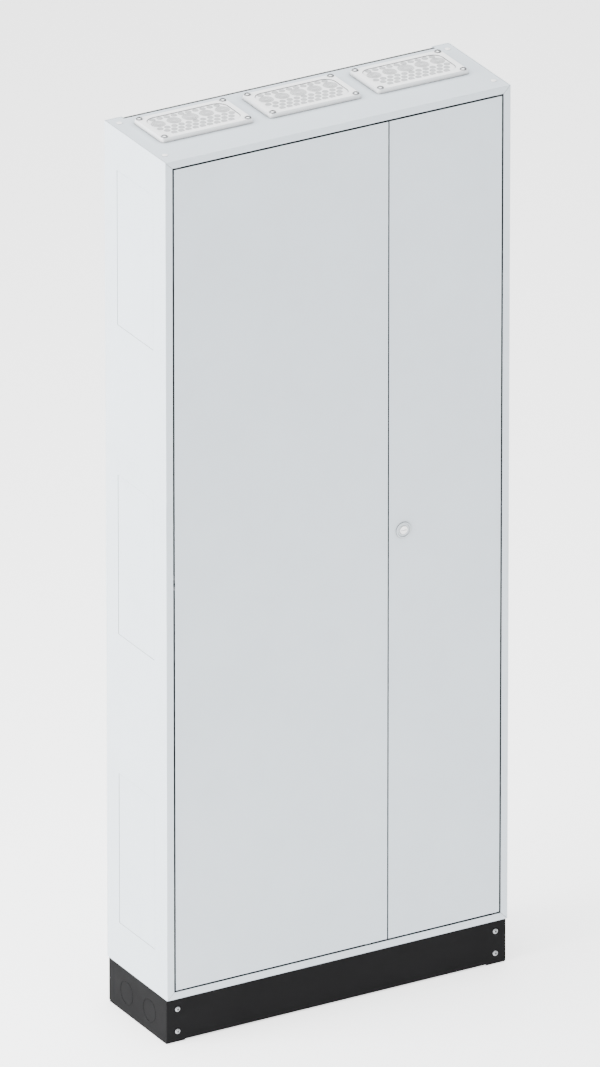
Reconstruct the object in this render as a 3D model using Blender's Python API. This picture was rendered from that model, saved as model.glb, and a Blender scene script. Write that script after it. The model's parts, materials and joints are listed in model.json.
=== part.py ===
"""Two-door floor-standing switchboard cabinet on a plinth, as separate working pieces.

Metres, +Z up. The doors face -Y. The origin is on the floor, at the middle of the plinth.
"""

import math

import bmesh
import bpy
from mathutils import Matrix, Vector

MM = 0.001

# Overall sizes
WIDTH = 800 * MM
DEPTH = 250 * MM
BODY_HEIGHT = 1860 * MM
PLINTH_HEIGHT = 100 * MM
SHEET = 1.5 * MM
CLEARANCE = 0.3 * MM

# Sides of round shapes, and how they are smoothed
ROUND_FINE = 32
ROUND = 24
ROUND_SMALL = 16
ROUND_HOLE = 20
DOME_STEPS = 4
FLANK_STEPS = 3
SHARP_ANGLE = math.radians(35)
SAME_POINT = 0.001 * MM

# Front frame and rear edges of the body
FLANGE = 16 * MM
LIP = 30 * MM
MITRE_GAP = 0.22 * MM
REAR_FLANGE = 40 * MM
BACK_RECESS = 12 * MM

# Doors
DOOR_GAP = 4 * MM
SPLIT_GAP = 3 * MM
SPLIT_FROM_RIGHT = 283.1 * MM
DOOR_DEPTH = 16 * MM
DOOR_RETURN = 26 * MM
SEAL_WIDTH = 10 * MM
SEAL_THICKNESS = 5.2 * MM
SEAL_INSET = 4.4 * MM
SEAL_HINGE_INSET = 15.5 * MM

# Hinges
PIVOT_INSET = 10 * MM
PIN_RADIUS = 3 * MM
PIN_OVERHANG = 4 * MM
COLLAR_RADIUS = 6.5 * MM
HINGE_PIN_RADIUS = 2 * MM
HINGE_ARM = 4 * MM
HINGE_ARM_HEIGHT = 16 * MM
HINGE_EAR = 2 * MM
HINGE_HEIGHT = 32 * MM
KNUCKLE_RADIUS = 5 * MM
KNUCKLE_GAP = 0.5 * MM
HINGE_PIN_HEAD = 1.5 * MM
HINGE_PLATE_HEIGHT = 40 * MM
HINGE_PLATE = 2.5 * MM
HINGE_PLATE_OUT = 12 * MM
HINGE_PLATE_IN = 14 * MM
HINGE_LEAF_LENGTH = 24 * MM

# Centre mullion
MULLION_WIDTH = 38 * MM
MULLION_DEPTH = 32 * MM
MULLION_WALL = 3 * MM
MULLION_OVERLAP = 26 * MM

# Lock and rods
LOCK_FROM_EDGE = 33.8 * MM
BEZEL_RADIUS = 17 * MM
BARREL_RADIUS = 11 * MM
CORE_RADIUS = 9 * MM
BEZEL_PROUD = 2 * MM
BARREL_PAST_CASE = 1.2 * MM
CORE_SUNK = 0.4 * MM
KEY_SLOT_LENGTH = 12 * MM
KEY_SLOT_WIDTH = 1.6 * MM
KEY_SLOT_DEPTH = 1 * MM
SPINDLE_RADIUS = 3.5 * MM
PINION_TEETH = 12
PITCH_RADIUS = 8 * MM
PRESSURE_ANGLE = math.radians(25)
BACKLASH = 0.35 * MM
ADDENDUM = 1.15 * MM
DEDENDUM = 1.65 * MM
PINION_FACE = 5.5 * MM
ROD_WIDTH = 7.3 * MM
ROD_THICKNESS = 3 * MM
ROD_SETBACK = 6.7 * MM
ROD_PAST_DOOR = 1.5 * MM
RACK_TEETH_TRAILING = 5
RACK_TEETH_LEADING = 2
RACK_MARGIN = 1.2 * MM
CASE_MARGIN = 5 * MM
GUIDE_HEIGHT = 20 * MM
GUIDE_BACK = 2.5 * MM
GUIDE_WALL = 3 * MM
ROD_GUIDE_FROM_LOCK = 500 * MM
STRIKE_CLEARANCE = 1 * MM

# Slide bolts of the left door
BOLT_FROM_EDGE = 40.4 * MM
BOLT_WIDTH = 12 * MM
BOLT_LENGTH = 90 * MM
BOLT_GUIDE_FROM_TIP = 32 * MM
BOLT_TAB_FROM_END = 8 * MM
BOLT_TAB = 6 * MM
BOLT_TAB_REACH = 10 * MM

# Cable entry plates and plugs in the top, and the opening in the bottom
ENTRY_LENGTH = 213 * MM
ENTRY_DEPTH = 120 * MM
ENTRY_HEIGHT = 9 * MM
ENTRY_DRAFT = 2 * MM
ENTRY_RIM = 14 * MM
ENTRY_RECESS = 2 * MM
ENTRY_WALL = 18 * MM
ENTRY_HOLLOW = 4.5 * MM
ENTRY_GAP = 37 * MM
ENTRY_FROM_FRONT = 150 * MM
ENTRY_OPENING_MARGIN = 18.5 * MM
ENTRY_SCREW_EDGE_X = 10 * MM
ENTRY_SCREW_EDGE_Y = 8.5 * MM
ENTRY_SCREW_RADIUS = 2.5 * MM
ENTRY_HEAD_RADIUS = 7 * MM
ENTRY_HEAD_HEIGHT = 3.6 * MM
CLAMP_THICKNESS = 3 * MM
PLUG_RADIUS = 6 * MM
PLUG_TOP_RADIUS = 5.4 * MM
PLUG_STEM_RADIUS = 3.7 * MM
PLUG_HEIGHT = 1.6 * MM
PLUG_STEM = 5 * MM
PLUG_FROM_SIDE = 19 * MM
PLUG_FROM_FRONT = 35.5 * MM
PLUG_FROM_BACK = 28.5 * MM
BOTTOM_OPENING_LENGTH = 640 * MM
BOTTOM_OPENING_DEPTH = 140 * MM

# Plinth
PLINTH_SHEET = 2 * MM
PLINTH_SIDE_INSET = 1 * MM
PLINTH_FRONT_INSET = 5 * MM
PLINTH_FLANGE = 45 * MM
PLINTH_LIP = 32 * MM
PLINTH_PANEL_LIP = 18 * MM
PLINTH_PANEL_LIFT = 3.5 * MM
PLINTH_SCREW_FROM_SIDE = 26 * MM
PLINTH_SCREW_HIGH = 25 * MM
PLINTH_SCREW_LOW = 75 * MM
PLINTH_SCREW_RADIUS = 3 * MM
PLINTH_HEAD_RADIUS = 6 * MM
PLINTH_HEAD_HEIGHT = 3 * MM
PLINTH_SCREW_LENGTH = 10 * MM

# Mounting gear inside
POST_FROM_SIDE = 100 * MM
POST_WIDTH = 40 * MM
POST_DEPTH = 30 * MM
POST_WALL = 2 * MM
POST_FROM_END = 40 * MM
RAIL_COUNT = 5
RAIL_FIRST = 400 * MM
RAIL_FROM_TOP = 140 * MM
RAIL_HEIGHT = 35 * MM
RAIL_BASE = 25 * MM
RAIL_DEPTH = 7.5 * MM
RAIL_SHEET = 1 * MM
RAIL_OVERHANG = 30 * MM
BAR_THICKNESS = 5 * MM
BAR_HEIGHT = 20 * MM
BAR_STANDOFF = 15 * MM
BAR_FOOT = 16 * MM
EARTH_BAR_HEIGHT = 90 * MM
NEUTRAL_BAR_HEIGHT = 150 * MM

# Places worked out from the sizes
LEFT = -WIDTH / 2
RIGHT = WIDTH / 2
FRONT = -DEPTH / 2
BACK = DEPTH / 2
BOTTOM = PLINTH_HEIGHT
TOP = PLINTH_HEIGHT + BODY_HEIGHT
MIDDLE = (BOTTOM + TOP) / 2
LIP_Y = FRONT + DOOR_DEPTH + SEAL_THICKNESS + 2 * CLEARANCE
LIP_BACK = LIP_Y + SHEET
SKIN_BACK = FRONT + SHEET
BACK_PANEL_REAR = BACK - BACK_RECESS - CLEARANCE
BACK_PANEL_FRONT = BACK_PANEL_REAR - SHEET
SPLIT_X = RIGHT - SPLIT_FROM_RIGHT
DOOR_LOW = BOTTOM + FLANGE + DOOR_GAP
DOOR_HIGH = TOP - FLANGE - DOOR_GAP
DOOR_REAR = FRONT + DOOR_DEPTH
PIVOT_Y = FRONT + SHEET + KNUCKLE_GAP + KNUCKLE_RADIUS
LEFT_DOOR_X = (LEFT + FLANGE + DOOR_GAP, SPLIT_X - SPLIT_GAP / 2)
RIGHT_DOOR_X = (SPLIT_X + SPLIT_GAP / 2, RIGHT - FLANGE - DOOR_GAP)
LEFT_PIVOT_X = LEFT_DOOR_X[0] + PIVOT_INSET
RIGHT_PIVOT_X = RIGHT_DOOR_X[1] - PIVOT_INSET
LOCK_X = RIGHT_DOOR_X[0] + LOCK_FROM_EDGE
ROD_Y = (FRONT + ROD_SETBACK, FRONT + ROD_SETBACK + ROD_THICKNESS)
ROD_NEAR = PITCH_RADIUS + DEDENDUM
ROD_FAR = ROD_NEAR + ROD_WIDTH
TOOTH_PITCH = 2 * math.pi * PITCH_RADIUS / PINION_TEETH
RACK_END = (RACK_TEETH_TRAILING + 0.5) * TOOTH_PITCH + RACK_MARGIN
CASE_HALF_WIDTH = ROD_FAR + CASE_MARGIN
CASE_HALF_HEIGHT = RACK_END + CLEARANCE + SHEET
CASE_DEPTH = DOOR_DEPTH - 2 * SHEET - 2 * CLEARANCE
GUIDE_DEPTH = ROD_SETBACK + ROD_THICKNESS + GUIDE_BACK - SHEET - CLEARANCE
BOLT_X = LEFT_DOOR_X[1] - BOLT_FROM_EDGE
ENTRY_Y = FRONT + ENTRY_FROM_FRONT
ENTRY_BASE = TOP + CLEARANCE
ENTRY_PITCH = ENTRY_LENGTH + ENTRY_GAP
ENTRY_OPENING_LENGTH = ENTRY_LENGTH - 2 * ENTRY_OPENING_MARGIN
ENTRY_OPENING_DEPTH = ENTRY_DEPTH - 2 * ENTRY_OPENING_MARGIN
PLINTH_TOP = PLINTH_HEIGHT - CLEARANCE
PLINTH_X = WIDTH / 2 - PLINTH_SIDE_INSET
PLINTH_PANEL_Y = DEPTH / 2 - PLINTH_FRONT_INSET
PLINTH_CHANNEL_Y = PLINTH_PANEL_Y - PLINTH_SHEET - CLEARANCE
POST_FRONT = BACK_PANEL_FRONT - CLEARANCE - POST_DEPTH
RAIL_REAR = POST_FRONT - CLEARANCE
RAIL_PITCH = (BODY_HEIGHT - RAIL_FIRST - RAIL_FROM_TOP) / (RAIL_COUNT - 1)

MATERIALS = {}


# Tools


def clear_scene():
    for item in list(bpy.data.objects):
        bpy.data.objects.remove(item, do_unlink=True)


def material(name, colour, roughness, metallic=0.0):
    """A Principled material, made once for each name."""
    if name not in MATERIALS:
        made = bpy.data.materials.new(name)
        made.use_nodes = True
        shader = made.node_tree.nodes["Principled BSDF"]
        shader.inputs["Base Color"].default_value = (*colour, 1.0)
        shader.inputs["Roughness"].default_value = roughness
        shader.inputs["Metallic"].default_value = metallic
        made.diffuse_color = (*colour, 1.0)
        MATERIALS[name] = made
    return MATERIALS[name]


def paint():
    return material("light_grey_paint", (0.62, 0.65, 0.67), 0.45)


def zinc():
    return material("zinc_plated_steel", (0.70, 0.72, 0.74), 0.30, 1.0)


def black():
    return material("black_paint", (0.03, 0.03, 0.03), 0.45)


def new_object(name, bm, finish, smooth=False):
    """Turns a bmesh into a named object in the scene."""
    bmesh.ops.recalc_face_normals(bm, faces=bm.faces)
    mesh = bpy.data.meshes.new(name)
    bm.to_mesh(mesh)
    bm.free()
    if smooth:
        mesh.shade_smooth()
        mesh.set_sharp_from_angle(angle=SHARP_ANGLE)
    made = bpy.data.objects.new(name, mesh)
    if finish:
        made.data.materials.append(finish)
    bpy.context.scene.collection.objects.link(made)
    return made


def attach(child, parent):
    """Parents child without moving it."""
    child.parent = parent
    child.matrix_parent_inverse = parent.matrix_basis.inverted()


def add_block(bm, low, high):
    size = Vector(high) - Vector(low)
    middle = (Vector(high) + Vector(low)) / 2
    bmesh.ops.create_cube(bm, size=1.0, matrix=Matrix.Translation(middle) @ Matrix.Diagonal((*size, 1.0)))


def add_cylinder(bm, radius, start, end, segments=ROUND_HOLE):
    """A cylinder from start to end, two points on its axis."""
    along = Vector(end) - Vector(start)
    turn = along.to_track_quat("Z", "Y").to_matrix().to_4x4()
    place = Matrix.Translation((Vector(start) + Vector(end)) / 2) @ turn
    bmesh.ops.create_cone(
        bm,
        cap_ends=True,
        segments=segments,
        radius1=radius,
        radius2=radius,
        depth=along.length,
        matrix=place,
    )


def block(name, low, high, finish):
    """A box whose object stands at its middle."""
    middle = (Vector(high) + Vector(low)) / 2
    bm = bmesh.new()
    add_block(bm, Vector(low) - middle, Vector(high) - middle)
    made = new_object(name, bm, finish)
    made.location = middle
    return made


def combine(target, bm, operation):
    """Adds a Boolean whose tool follows the target."""
    count = len(target.modifiers) + 1
    tool = new_object(f"{target.name}_tool_{count}", bm, None)
    tool.hide_render = True
    tool.display_type = "WIRE"
    attach(tool, target)
    boolean = target.modifiers.new(f"{operation.lower()}_{count}", "BOOLEAN")
    boolean.operation = operation
    boolean.solver = "EXACT"
    boolean.object = tool


def cut_blocks(target, *boxes):
    bm = bmesh.new()
    for low, high in boxes:
        add_block(bm, low, high)
    combine(target, bm, "DIFFERENCE")


def cut_holes(target, *holes):
    """Each hole is its radius and two points on its axis."""
    bm = bmesh.new()
    for radius, start, end in holes:
        add_cylinder(bm, radius, start, end)
    combine(target, bm, "DIFFERENCE")


def add_blocks(target, *boxes):
    for low, high in boxes:
        bm = bmesh.new()
        add_block(bm, low, high)
        combine(target, bm, "UNION")


def inner_line(outline, thickness):
    """The second face of a folded sheet: the material lies on the right of the outline."""
    normals = []
    for start, end in zip(outline, outline[1:]):
        along = (Vector(end) - Vector(start)).normalized()
        normals.append(Vector((along.y, -along.x)))
    line = []
    for index, point in enumerate(outline):
        before = normals[max(index - 1, 0)]
        after = normals[min(index, len(normals) - 1)]
        line.append(Vector(point) + (before + after) * thickness / (1 + before.dot(after)))
    return line


def folded_sheet(name, outline, thickness, ends, along_x, finish):
    """A sheet folded along an outline and drawn out between two ends.

    ends(u, v) gives the low and high end at an outline point. The outline lies in X and Y
    and is drawn along Z, or, with along_x, in Y and Z and is drawn along X.
    """
    bm = bmesh.new()
    rows = []
    for outer, inner in zip(outline, inner_line(outline, thickness)):
        rows.append([bm.verts.new((u, v, ends(u, v)[0])) for u, v in (outer, inner)])
    faces = []
    for first, second in zip(rows, rows[1:]):
        faces.append(bm.faces.new((first[0], second[0], second[1], first[1])))
    drawn = bmesh.ops.extrude_face_region(bm, geom=faces, use_keep_orig=True)
    for vertex in drawn["geom"]:
        if isinstance(vertex, bmesh.types.BMVert):
            vertex.co.z = ends(vertex.co.x, vertex.co.y)[1]
    if along_x:
        turn = Matrix(((0, 0, 1, 0), (1, 0, 0, 0), (0, 1, 0, 0), (0, 0, 0, 1)))
        bmesh.ops.transform(bm, matrix=turn, verts=bm.verts)
    return new_object(name, bm, finish)


def mirrored(outline, axis_sum, index):
    """The outline mirrored in one of its coordinates, still with its material on the right."""
    turned_over = []
    for point in reversed(outline):
        changed = list(point)
        changed[index] = axis_sum - changed[index]
        turned_over.append(tuple(changed))
    return turned_over


def extruded(name, outline, low, high, place, finish):
    """A flat outline drawn from low to high along local Z, then moved by place."""
    bm = bmesh.new()
    face = bm.faces.new([bm.verts.new((u, v, low)) for u, v in outline])
    drawn = bmesh.ops.extrude_face_region(bm, geom=[face], use_keep_orig=True)
    moved = [item for item in drawn["geom"] if isinstance(item, bmesh.types.BMVert)]
    bmesh.ops.translate(bm, verts=moved, vec=(0, 0, high - low))
    made = new_object(name, bm, finish)
    made.matrix_basis = place
    return made


def spun(profile, segments, closed=False):
    """A bmesh of a profile of (radius, height) points turned about Z."""
    bm = bmesh.new()
    points = [bm.verts.new((radius, 0, height)) for radius, height in profile]
    edges = [bm.edges.new(pair) for pair in zip(points, points[1:])]
    if closed:
        edges.append(bm.edges.new((points[-1], points[0])))
    bmesh.ops.spin(
        bm,
        geom=points + edges,
        cent=(0, 0, 0),
        axis=(0, 0, 1),
        angle=2 * math.pi,
        steps=segments,
        use_merge=True,
    )
    bmesh.ops.remove_doubles(bm, verts=bm.verts, dist=SAME_POINT)
    return bm


def turned(name, profile, finish, closed=False, segments=ROUND):
    """An object from a profile of (radius, height) points turned about local Z."""
    return new_object(name, spun(profile, segments, closed), finish, smooth=True)


def dome(radius, base, height, steps=DOME_STEPS):
    """Profile points of a domed head, from its rim to its middle."""
    arc = []
    for step in range(steps + 1):
        angle = math.pi / 2 * step / steps
        arc.append((radius * math.cos(angle), base + height * math.sin(angle)))
    arc[-1] = (0, base + height)
    return arc


def facing_front(x, y, z):
    """Local Z points to the front, local Y points up."""
    return Matrix.Translation((x, y, z)) @ Matrix.Rotation(math.pi / 2, 4, "X")


def axis_empty(name, place):
    made = bpy.data.objects.new(name, None)
    made.location = place
    bpy.context.scene.collection.objects.link(made)
    return made


# Body


def side_outline():
    """Left side, from the lip behind the doors to the rear return."""
    inner = LEFT + FLANGE
    return [
        (inner + LIP, LIP_Y),
        (inner, LIP_Y),
        (inner, FRONT),
        (LEFT, FRONT),
        (LEFT, SKIN_BACK + CLEARANCE),
        (LEFT, BACK),
        (LEFT + REAR_FLANGE, BACK),
        (LEFT + REAR_FLANGE, BACK - BACK_RECESS),
    ]


def in_front_frame(y, inset):
    """Whether a point belongs to the mitred front frame and not to the skin."""
    return y < SKIN_BACK + CLEARANCE / 2 or (y < 0 and inset > 2 * SHEET)


def side_ends(x, y):
    inset = WIDTH / 2 - abs(x)
    cut = inset + MITRE_GAP if in_front_frame(y, inset) else 0.0
    return BOTTOM + cut, TOP - cut


def make_sides():
    outlines = {"left": side_outline(), "right": mirrored(side_outline(), 0, 0)}
    pivots = {"left": LEFT_PIVOT_X, "right": RIGHT_PIVOT_X}
    for side, outline in outlines.items():
        panel = folded_sheet(f"side_panel_{side}", outline, SHEET, side_ends, False, paint())
        half_x = HINGE_ARM / 2 + CLEARANCE
        half_z = HINGE_ARM_HEIGHT / 2 + CLEARANCE
        low = (pivots[side] - half_x, LIP_Y - SHEET, MIDDLE - half_z)
        high = (pivots[side] + half_x, LIP_BACK + SHEET, MIDDLE + half_z)
        cut_blocks(panel, (low, high))


def top_outline():
    """Top, from the lip behind the doors to the rear edge, in Y and Z."""
    inner = TOP - FLANGE
    return [
        (LIP_Y, inner - LIP),
        (LIP_Y, inner),
        (FRONT, inner),
        (FRONT, TOP),
        (SKIN_BACK + CLEARANCE, TOP),
        (BACK - SHEET - CLEARANCE, TOP),
    ]


def cross_ends(y, z):
    inset = min(TOP - z, z - BOTTOM)
    cut = inset + MITRE_GAP if in_front_frame(y, inset) else SHEET + CLEARANCE
    return LEFT + cut, RIGHT - cut


def cut_rear_edge(panel, low, high):
    """Cuts the rear edge back to the back panel, between the corner tabs."""
    reach = WIDTH / 2 - REAR_FLANGE + SHEET + CLEARANCE
    cut_blocks(panel, ((-reach, BACK_PANEL_REAR, low), (reach, BACK + SHEET, high)))


def strike_boxes(returns, rod_side):
    """Slots in a frame return for the lock rod and the slide bolt."""
    low, high = returns
    rod = sorted((LOCK_X + rod_side * ROD_NEAR, LOCK_X + rod_side * ROD_FAR))
    bolt = (BOLT_X - BOLT_WIDTH / 2, BOLT_X + BOLT_WIDTH / 2)
    boxes = []
    for start, end in (rod, bolt):
        boxes.append(
            (
                (start - STRIKE_CLEARANCE, ROD_Y[0] - STRIKE_CLEARANCE, low),
                (end + STRIKE_CLEARANCE, ROD_Y[1] + STRIKE_CLEARANCE, high),
            )
        )
    return boxes


def cut_pin_holes(panel, low, high):
    radius = PIN_RADIUS + CLEARANCE
    holes = [(radius, (x, PIVOT_Y, low), (x, PIVOT_Y, high)) for x in (LEFT_PIVOT_X, RIGHT_PIVOT_X)]
    cut_holes(panel, *holes)


def entry_places():
    return {"left": -ENTRY_PITCH, "centre": 0.0, "right": ENTRY_PITCH}


def entry_screws(x):
    places = []
    for side_x in (-1, 1):
        for side_y in (-1, 1):
            place_x = x + side_x * (ENTRY_LENGTH / 2 - ENTRY_SCREW_EDGE_X)
            places.append((place_x, ENTRY_Y + side_y * (ENTRY_DEPTH / 2 - ENTRY_SCREW_EDGE_Y)))
    return places


def plug_places():
    xs = (LEFT + PLUG_FROM_SIDE, RIGHT - PLUG_FROM_SIDE)
    ys = (FRONT + PLUG_FROM_FRONT, BACK - PLUG_FROM_BACK)
    return [(x, y) for x in xs for y in ys]


def make_top():
    panel = folded_sheet("top_panel", top_outline(), SHEET, cross_ends, True, paint())
    under = TOP - 2 * SHEET
    over = TOP + SHEET
    cut_rear_edge(panel, under, over)
    returns = (TOP - FLANGE - SHEET, TOP - FLANGE + 2 * SHEET)
    cut_blocks(panel, *strike_boxes(returns, -1))
    cut_pin_holes(panel, *returns)
    openings = []
    for x in entry_places().values():
        half = Vector((ENTRY_OPENING_LENGTH / 2, ENTRY_OPENING_DEPTH / 2))
        openings.append(((x - half.x, ENTRY_Y - half.y, under), (x + half.x, ENTRY_Y + half.y, over)))
    cut_blocks(panel, *openings)
    holes = []
    for x in entry_places().values():
        for hole_x, hole_y in entry_screws(x):
            holes.append((ENTRY_SCREW_RADIUS + CLEARANCE, (hole_x, hole_y, under), (hole_x, hole_y, over)))
    for hole_x, hole_y in plug_places():
        holes.append((PLUG_STEM_RADIUS + CLEARANCE, (hole_x, hole_y, under), (hole_x, hole_y, over)))
    cut_holes(panel, *holes)


def make_bottom():
    outline = mirrored(top_outline(), TOP + BOTTOM, 1)
    panel = folded_sheet("bottom_panel", outline, SHEET, cross_ends, True, paint())
    under = BOTTOM - SHEET
    over = BOTTOM + 2 * SHEET
    cut_rear_edge(panel, under, over)
    returns = (BOTTOM + FLANGE - 2 * SHEET, BOTTOM + FLANGE + SHEET)
    cut_blocks(panel, *strike_boxes(returns, 1))
    cut_pin_holes(panel, *returns)
    half = Vector((BOTTOM_OPENING_LENGTH / 2, BOTTOM_OPENING_DEPTH / 2))
    cut_blocks(panel, ((-half.x, -half.y, under), (half.x, half.y, over)))


def make_back():
    reach = WIDTH / 2 - SHEET - CLEARANCE
    low = (-reach, BACK_PANEL_FRONT, BOTTOM + SHEET + CLEARANCE)
    high = (reach, BACK_PANEL_REAR, TOP - SHEET - CLEARANCE)
    block("back_panel", low, high, paint())


def make_mullion():
    """A channel open to the rear, whose ends pass behind the top and bottom lips."""
    lips = FLANGE + LIP
    low = BOTTOM + lips - MULLION_OVERLAP
    high = TOP - lips + MULLION_OVERLAP
    half = MULLION_WIDTH / 2
    rear = LIP_Y + MULLION_DEPTH
    post = block("centre_mullion", (SPLIT_X - half, LIP_Y, low), (SPLIT_X + half, rear, high), paint())
    inner = half - MULLION_WALL
    hollow_low = (SPLIT_X - inner, LIP_Y + MULLION_WALL, low - MULLION_WALL)
    hollow_high = (SPLIT_X + inner, rear + MULLION_WALL, high + MULLION_WALL)
    cut_blocks(post, (hollow_low, hollow_high))
    step = LIP_BACK + CLEARANCE
    wide = half + MULLION_WALL
    cut_blocks(
        post,
        ((SPLIT_X - wide, FRONT, TOP - lips - CLEARANCE), (SPLIT_X + wide, step, TOP)),
        ((SPLIT_X - wide, FRONT, BOTTOM), (SPLIT_X + wide, step, BOTTOM + lips + CLEARANCE)),
    )


# Top entries


def make_entry_plate(name, x):
    """A drafted plastic plate with a raised rim, hollow underneath."""
    bm = bmesh.new()
    half = Vector((ENTRY_LENGTH / 2, ENTRY_DEPTH / 2))
    add_block(bm, (-half.x, -half.y, 0), (half.x, half.y, ENTRY_HEIGHT))
    bm.normal_update()
    top = max(bm.faces, key=lambda face: face.calc_center_median().z)
    for vertex in top.verts:
        vertex.co.x *= (half.x - ENTRY_DRAFT) / half.x
        vertex.co.y *= (half.y - ENTRY_DRAFT) / half.y
    bmesh.ops.inset_individual(bm, faces=[top], thickness=ENTRY_RIM)
    sunk = bmesh.ops.extrude_face_region(bm, geom=[top])
    moved = [item for item in sunk["geom"] if isinstance(item, bmesh.types.BMVert)]
    bmesh.ops.translate(bm, verts=moved, vec=(0, 0, -ENTRY_RECESS))
    bmesh.ops.delete(bm, geom=[top], context="FACES_ONLY")
    base = min(bm.faces, key=lambda face: face.calc_center_median().z)
    bmesh.ops.inset_individual(bm, faces=[base], thickness=ENTRY_WALL)
    raised = bmesh.ops.extrude_face_region(bm, geom=[base])
    moved = [item for item in raised["geom"] if isinstance(item, bmesh.types.BMVert)]
    bmesh.ops.translate(bm, verts=moved, vec=(0, 0, ENTRY_HOLLOW))
    bmesh.ops.delete(bm, geom=[base], context="FACES_ONLY")
    plate = new_object(name, bm, material("entry_plastic", (0.82, 0.84, 0.85), 0.5))
    plate.location = (x, ENTRY_Y, ENTRY_BASE)
    over = ENTRY_BASE + ENTRY_HEIGHT + SHEET
    radius = ENTRY_SCREW_RADIUS + CLEARANCE
    cut_holes(plate, *[(radius, (u, v, TOP), (u, v, over)) for u, v in entry_screws(x)])


def make_entry_clamp(name, x):
    """The frame under the top with its four screws, which pull the plate down."""
    high = TOP - SHEET - CLEARANCE
    low = high - CLAMP_THICKNESS
    half = Vector((ENTRY_LENGTH / 2, ENTRY_DEPTH / 2))
    outer = ((x - half.x, ENTRY_Y - half.y, low), (x + half.x, ENTRY_Y + half.y, high))
    clamp = block(name, *outer, zinc())
    window = Vector((ENTRY_OPENING_LENGTH / 2, ENTRY_OPENING_DEPTH / 2))
    window_low = (x - window.x, ENTRY_Y - window.y, low - SHEET)
    window_high = (x + window.x, ENTRY_Y + window.y, high + SHEET)
    cut_blocks(clamp, (window_low, window_high))
    head_base = ENTRY_BASE + ENTRY_HEIGHT + CLEARANCE
    for u, v in entry_screws(x):
        profile = [(0, low + SHEET), (ENTRY_SCREW_RADIUS, low + SHEET), (ENTRY_SCREW_RADIUS, head_base)]
        profile += dome(ENTRY_HEAD_RADIUS, head_base, ENTRY_HEAD_HEIGHT, DOME_STEPS - 1)
        bm = spun(profile, ROUND_SMALL)
        bmesh.ops.translate(bm, verts=bm.verts, vec=(u, v, 0))
        combine(clamp, bm, "UNION")


def make_plugs():
    for number, (x, y) in enumerate(plug_places(), 1):
        profile = [(0, -PLUG_STEM), (PLUG_STEM_RADIUS, -PLUG_STEM), (PLUG_STEM_RADIUS, CLEARANCE)]
        profile += [(PLUG_RADIUS, CLEARANCE), (PLUG_TOP_RADIUS, PLUG_HEIGHT), (0, PLUG_HEIGHT)]
        plug = turned(f"top_plug_{number}", profile, material("plug_plastic", (0.9, 0.9, 0.9), 0.4))
        plug.location = (x, y, TOP)


# Plinth


def make_plinth_side(name, side):
    """A channel with its web outwards, flanges at both ends, and lips above and below."""
    web = side * PLINTH_X
    edge = side * (PLINTH_X - PLINTH_FLANGE)
    low_x, high_x = sorted((web, edge))
    reach = PLINTH_CHANNEL_Y
    channel = block(name, (low_x, -reach, 0), (high_x, reach, PLINTH_TOP), black())
    inside = sorted((side * (PLINTH_X - PLINTH_SHEET), side * (PLINTH_X - PLINTH_FLANGE - PLINTH_SHEET)))
    deep = reach - PLINTH_SHEET
    hollow = ((inside[0], -deep, PLINTH_SHEET), (inside[1], deep, PLINTH_TOP - PLINTH_SHEET))
    cut_blocks(channel, hollow)
    lip = sorted((side * (PLINTH_X - PLINTH_LIP), side * (PLINTH_X - PLINTH_FLANGE - PLINTH_SHEET)))
    cut_blocks(channel, ((lip[0], -deep, -PLINTH_SHEET), (lip[1], deep, PLINTH_HEIGHT + PLINTH_SHEET)))
    holes = []
    for _, x, z in plinth_screws():
        if x * side > 0:
            ends = ((x, -reach - SHEET, z), (x, -reach + 2 * SHEET, z))
            holes.append((PLINTH_SCREW_RADIUS + CLEARANCE, *ends))
    cut_holes(channel, *holes)


def plinth_screws():
    """Number, X and Z of each front screw."""
    places = []
    for side in (-1, 1):
        for depth in (PLINTH_SCREW_HIGH, PLINTH_SCREW_LOW):
            x = side * (WIDTH / 2 - PLINTH_SCREW_FROM_SIDE)
            places.append((len(places) + 1, x, PLINTH_HEIGHT - depth))
    return places


def make_plinth_panel(name, side):
    """A sheet between the corners, with lips folded in between the channels."""
    face = side * PLINTH_PANEL_Y
    inner = side * (PLINTH_PANEL_Y - PLINTH_PANEL_LIP)
    outline = [
        (inner, PLINTH_PANEL_LIFT),
        (face, PLINTH_PANEL_LIFT),
        (face, PLINTH_TOP),
        (inner, PLINTH_TOP),
    ]
    if side > 0:
        outline.reverse()
    panel = folded_sheet(
        name, outline, PLINTH_SHEET, lambda y, z: (-PLINTH_X, PLINTH_X), True, black()
    )
    near = side * (PLINTH_PANEL_Y - PLINTH_SHEET)
    low_y, high_y = sorted((near, inner - side * PLINTH_SHEET))
    gap = PLINTH_X - PLINTH_FLANGE - CLEARANCE
    ends = []
    for end in (-1, 1):
        low_x, high_x = sorted((end * gap, end * (PLINTH_X + PLINTH_SHEET)))
        ends.append(((low_x, low_y, 0), (high_x, high_y, PLINTH_HEIGHT + PLINTH_SHEET)))
    cut_blocks(panel, *ends)
    return panel


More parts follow.
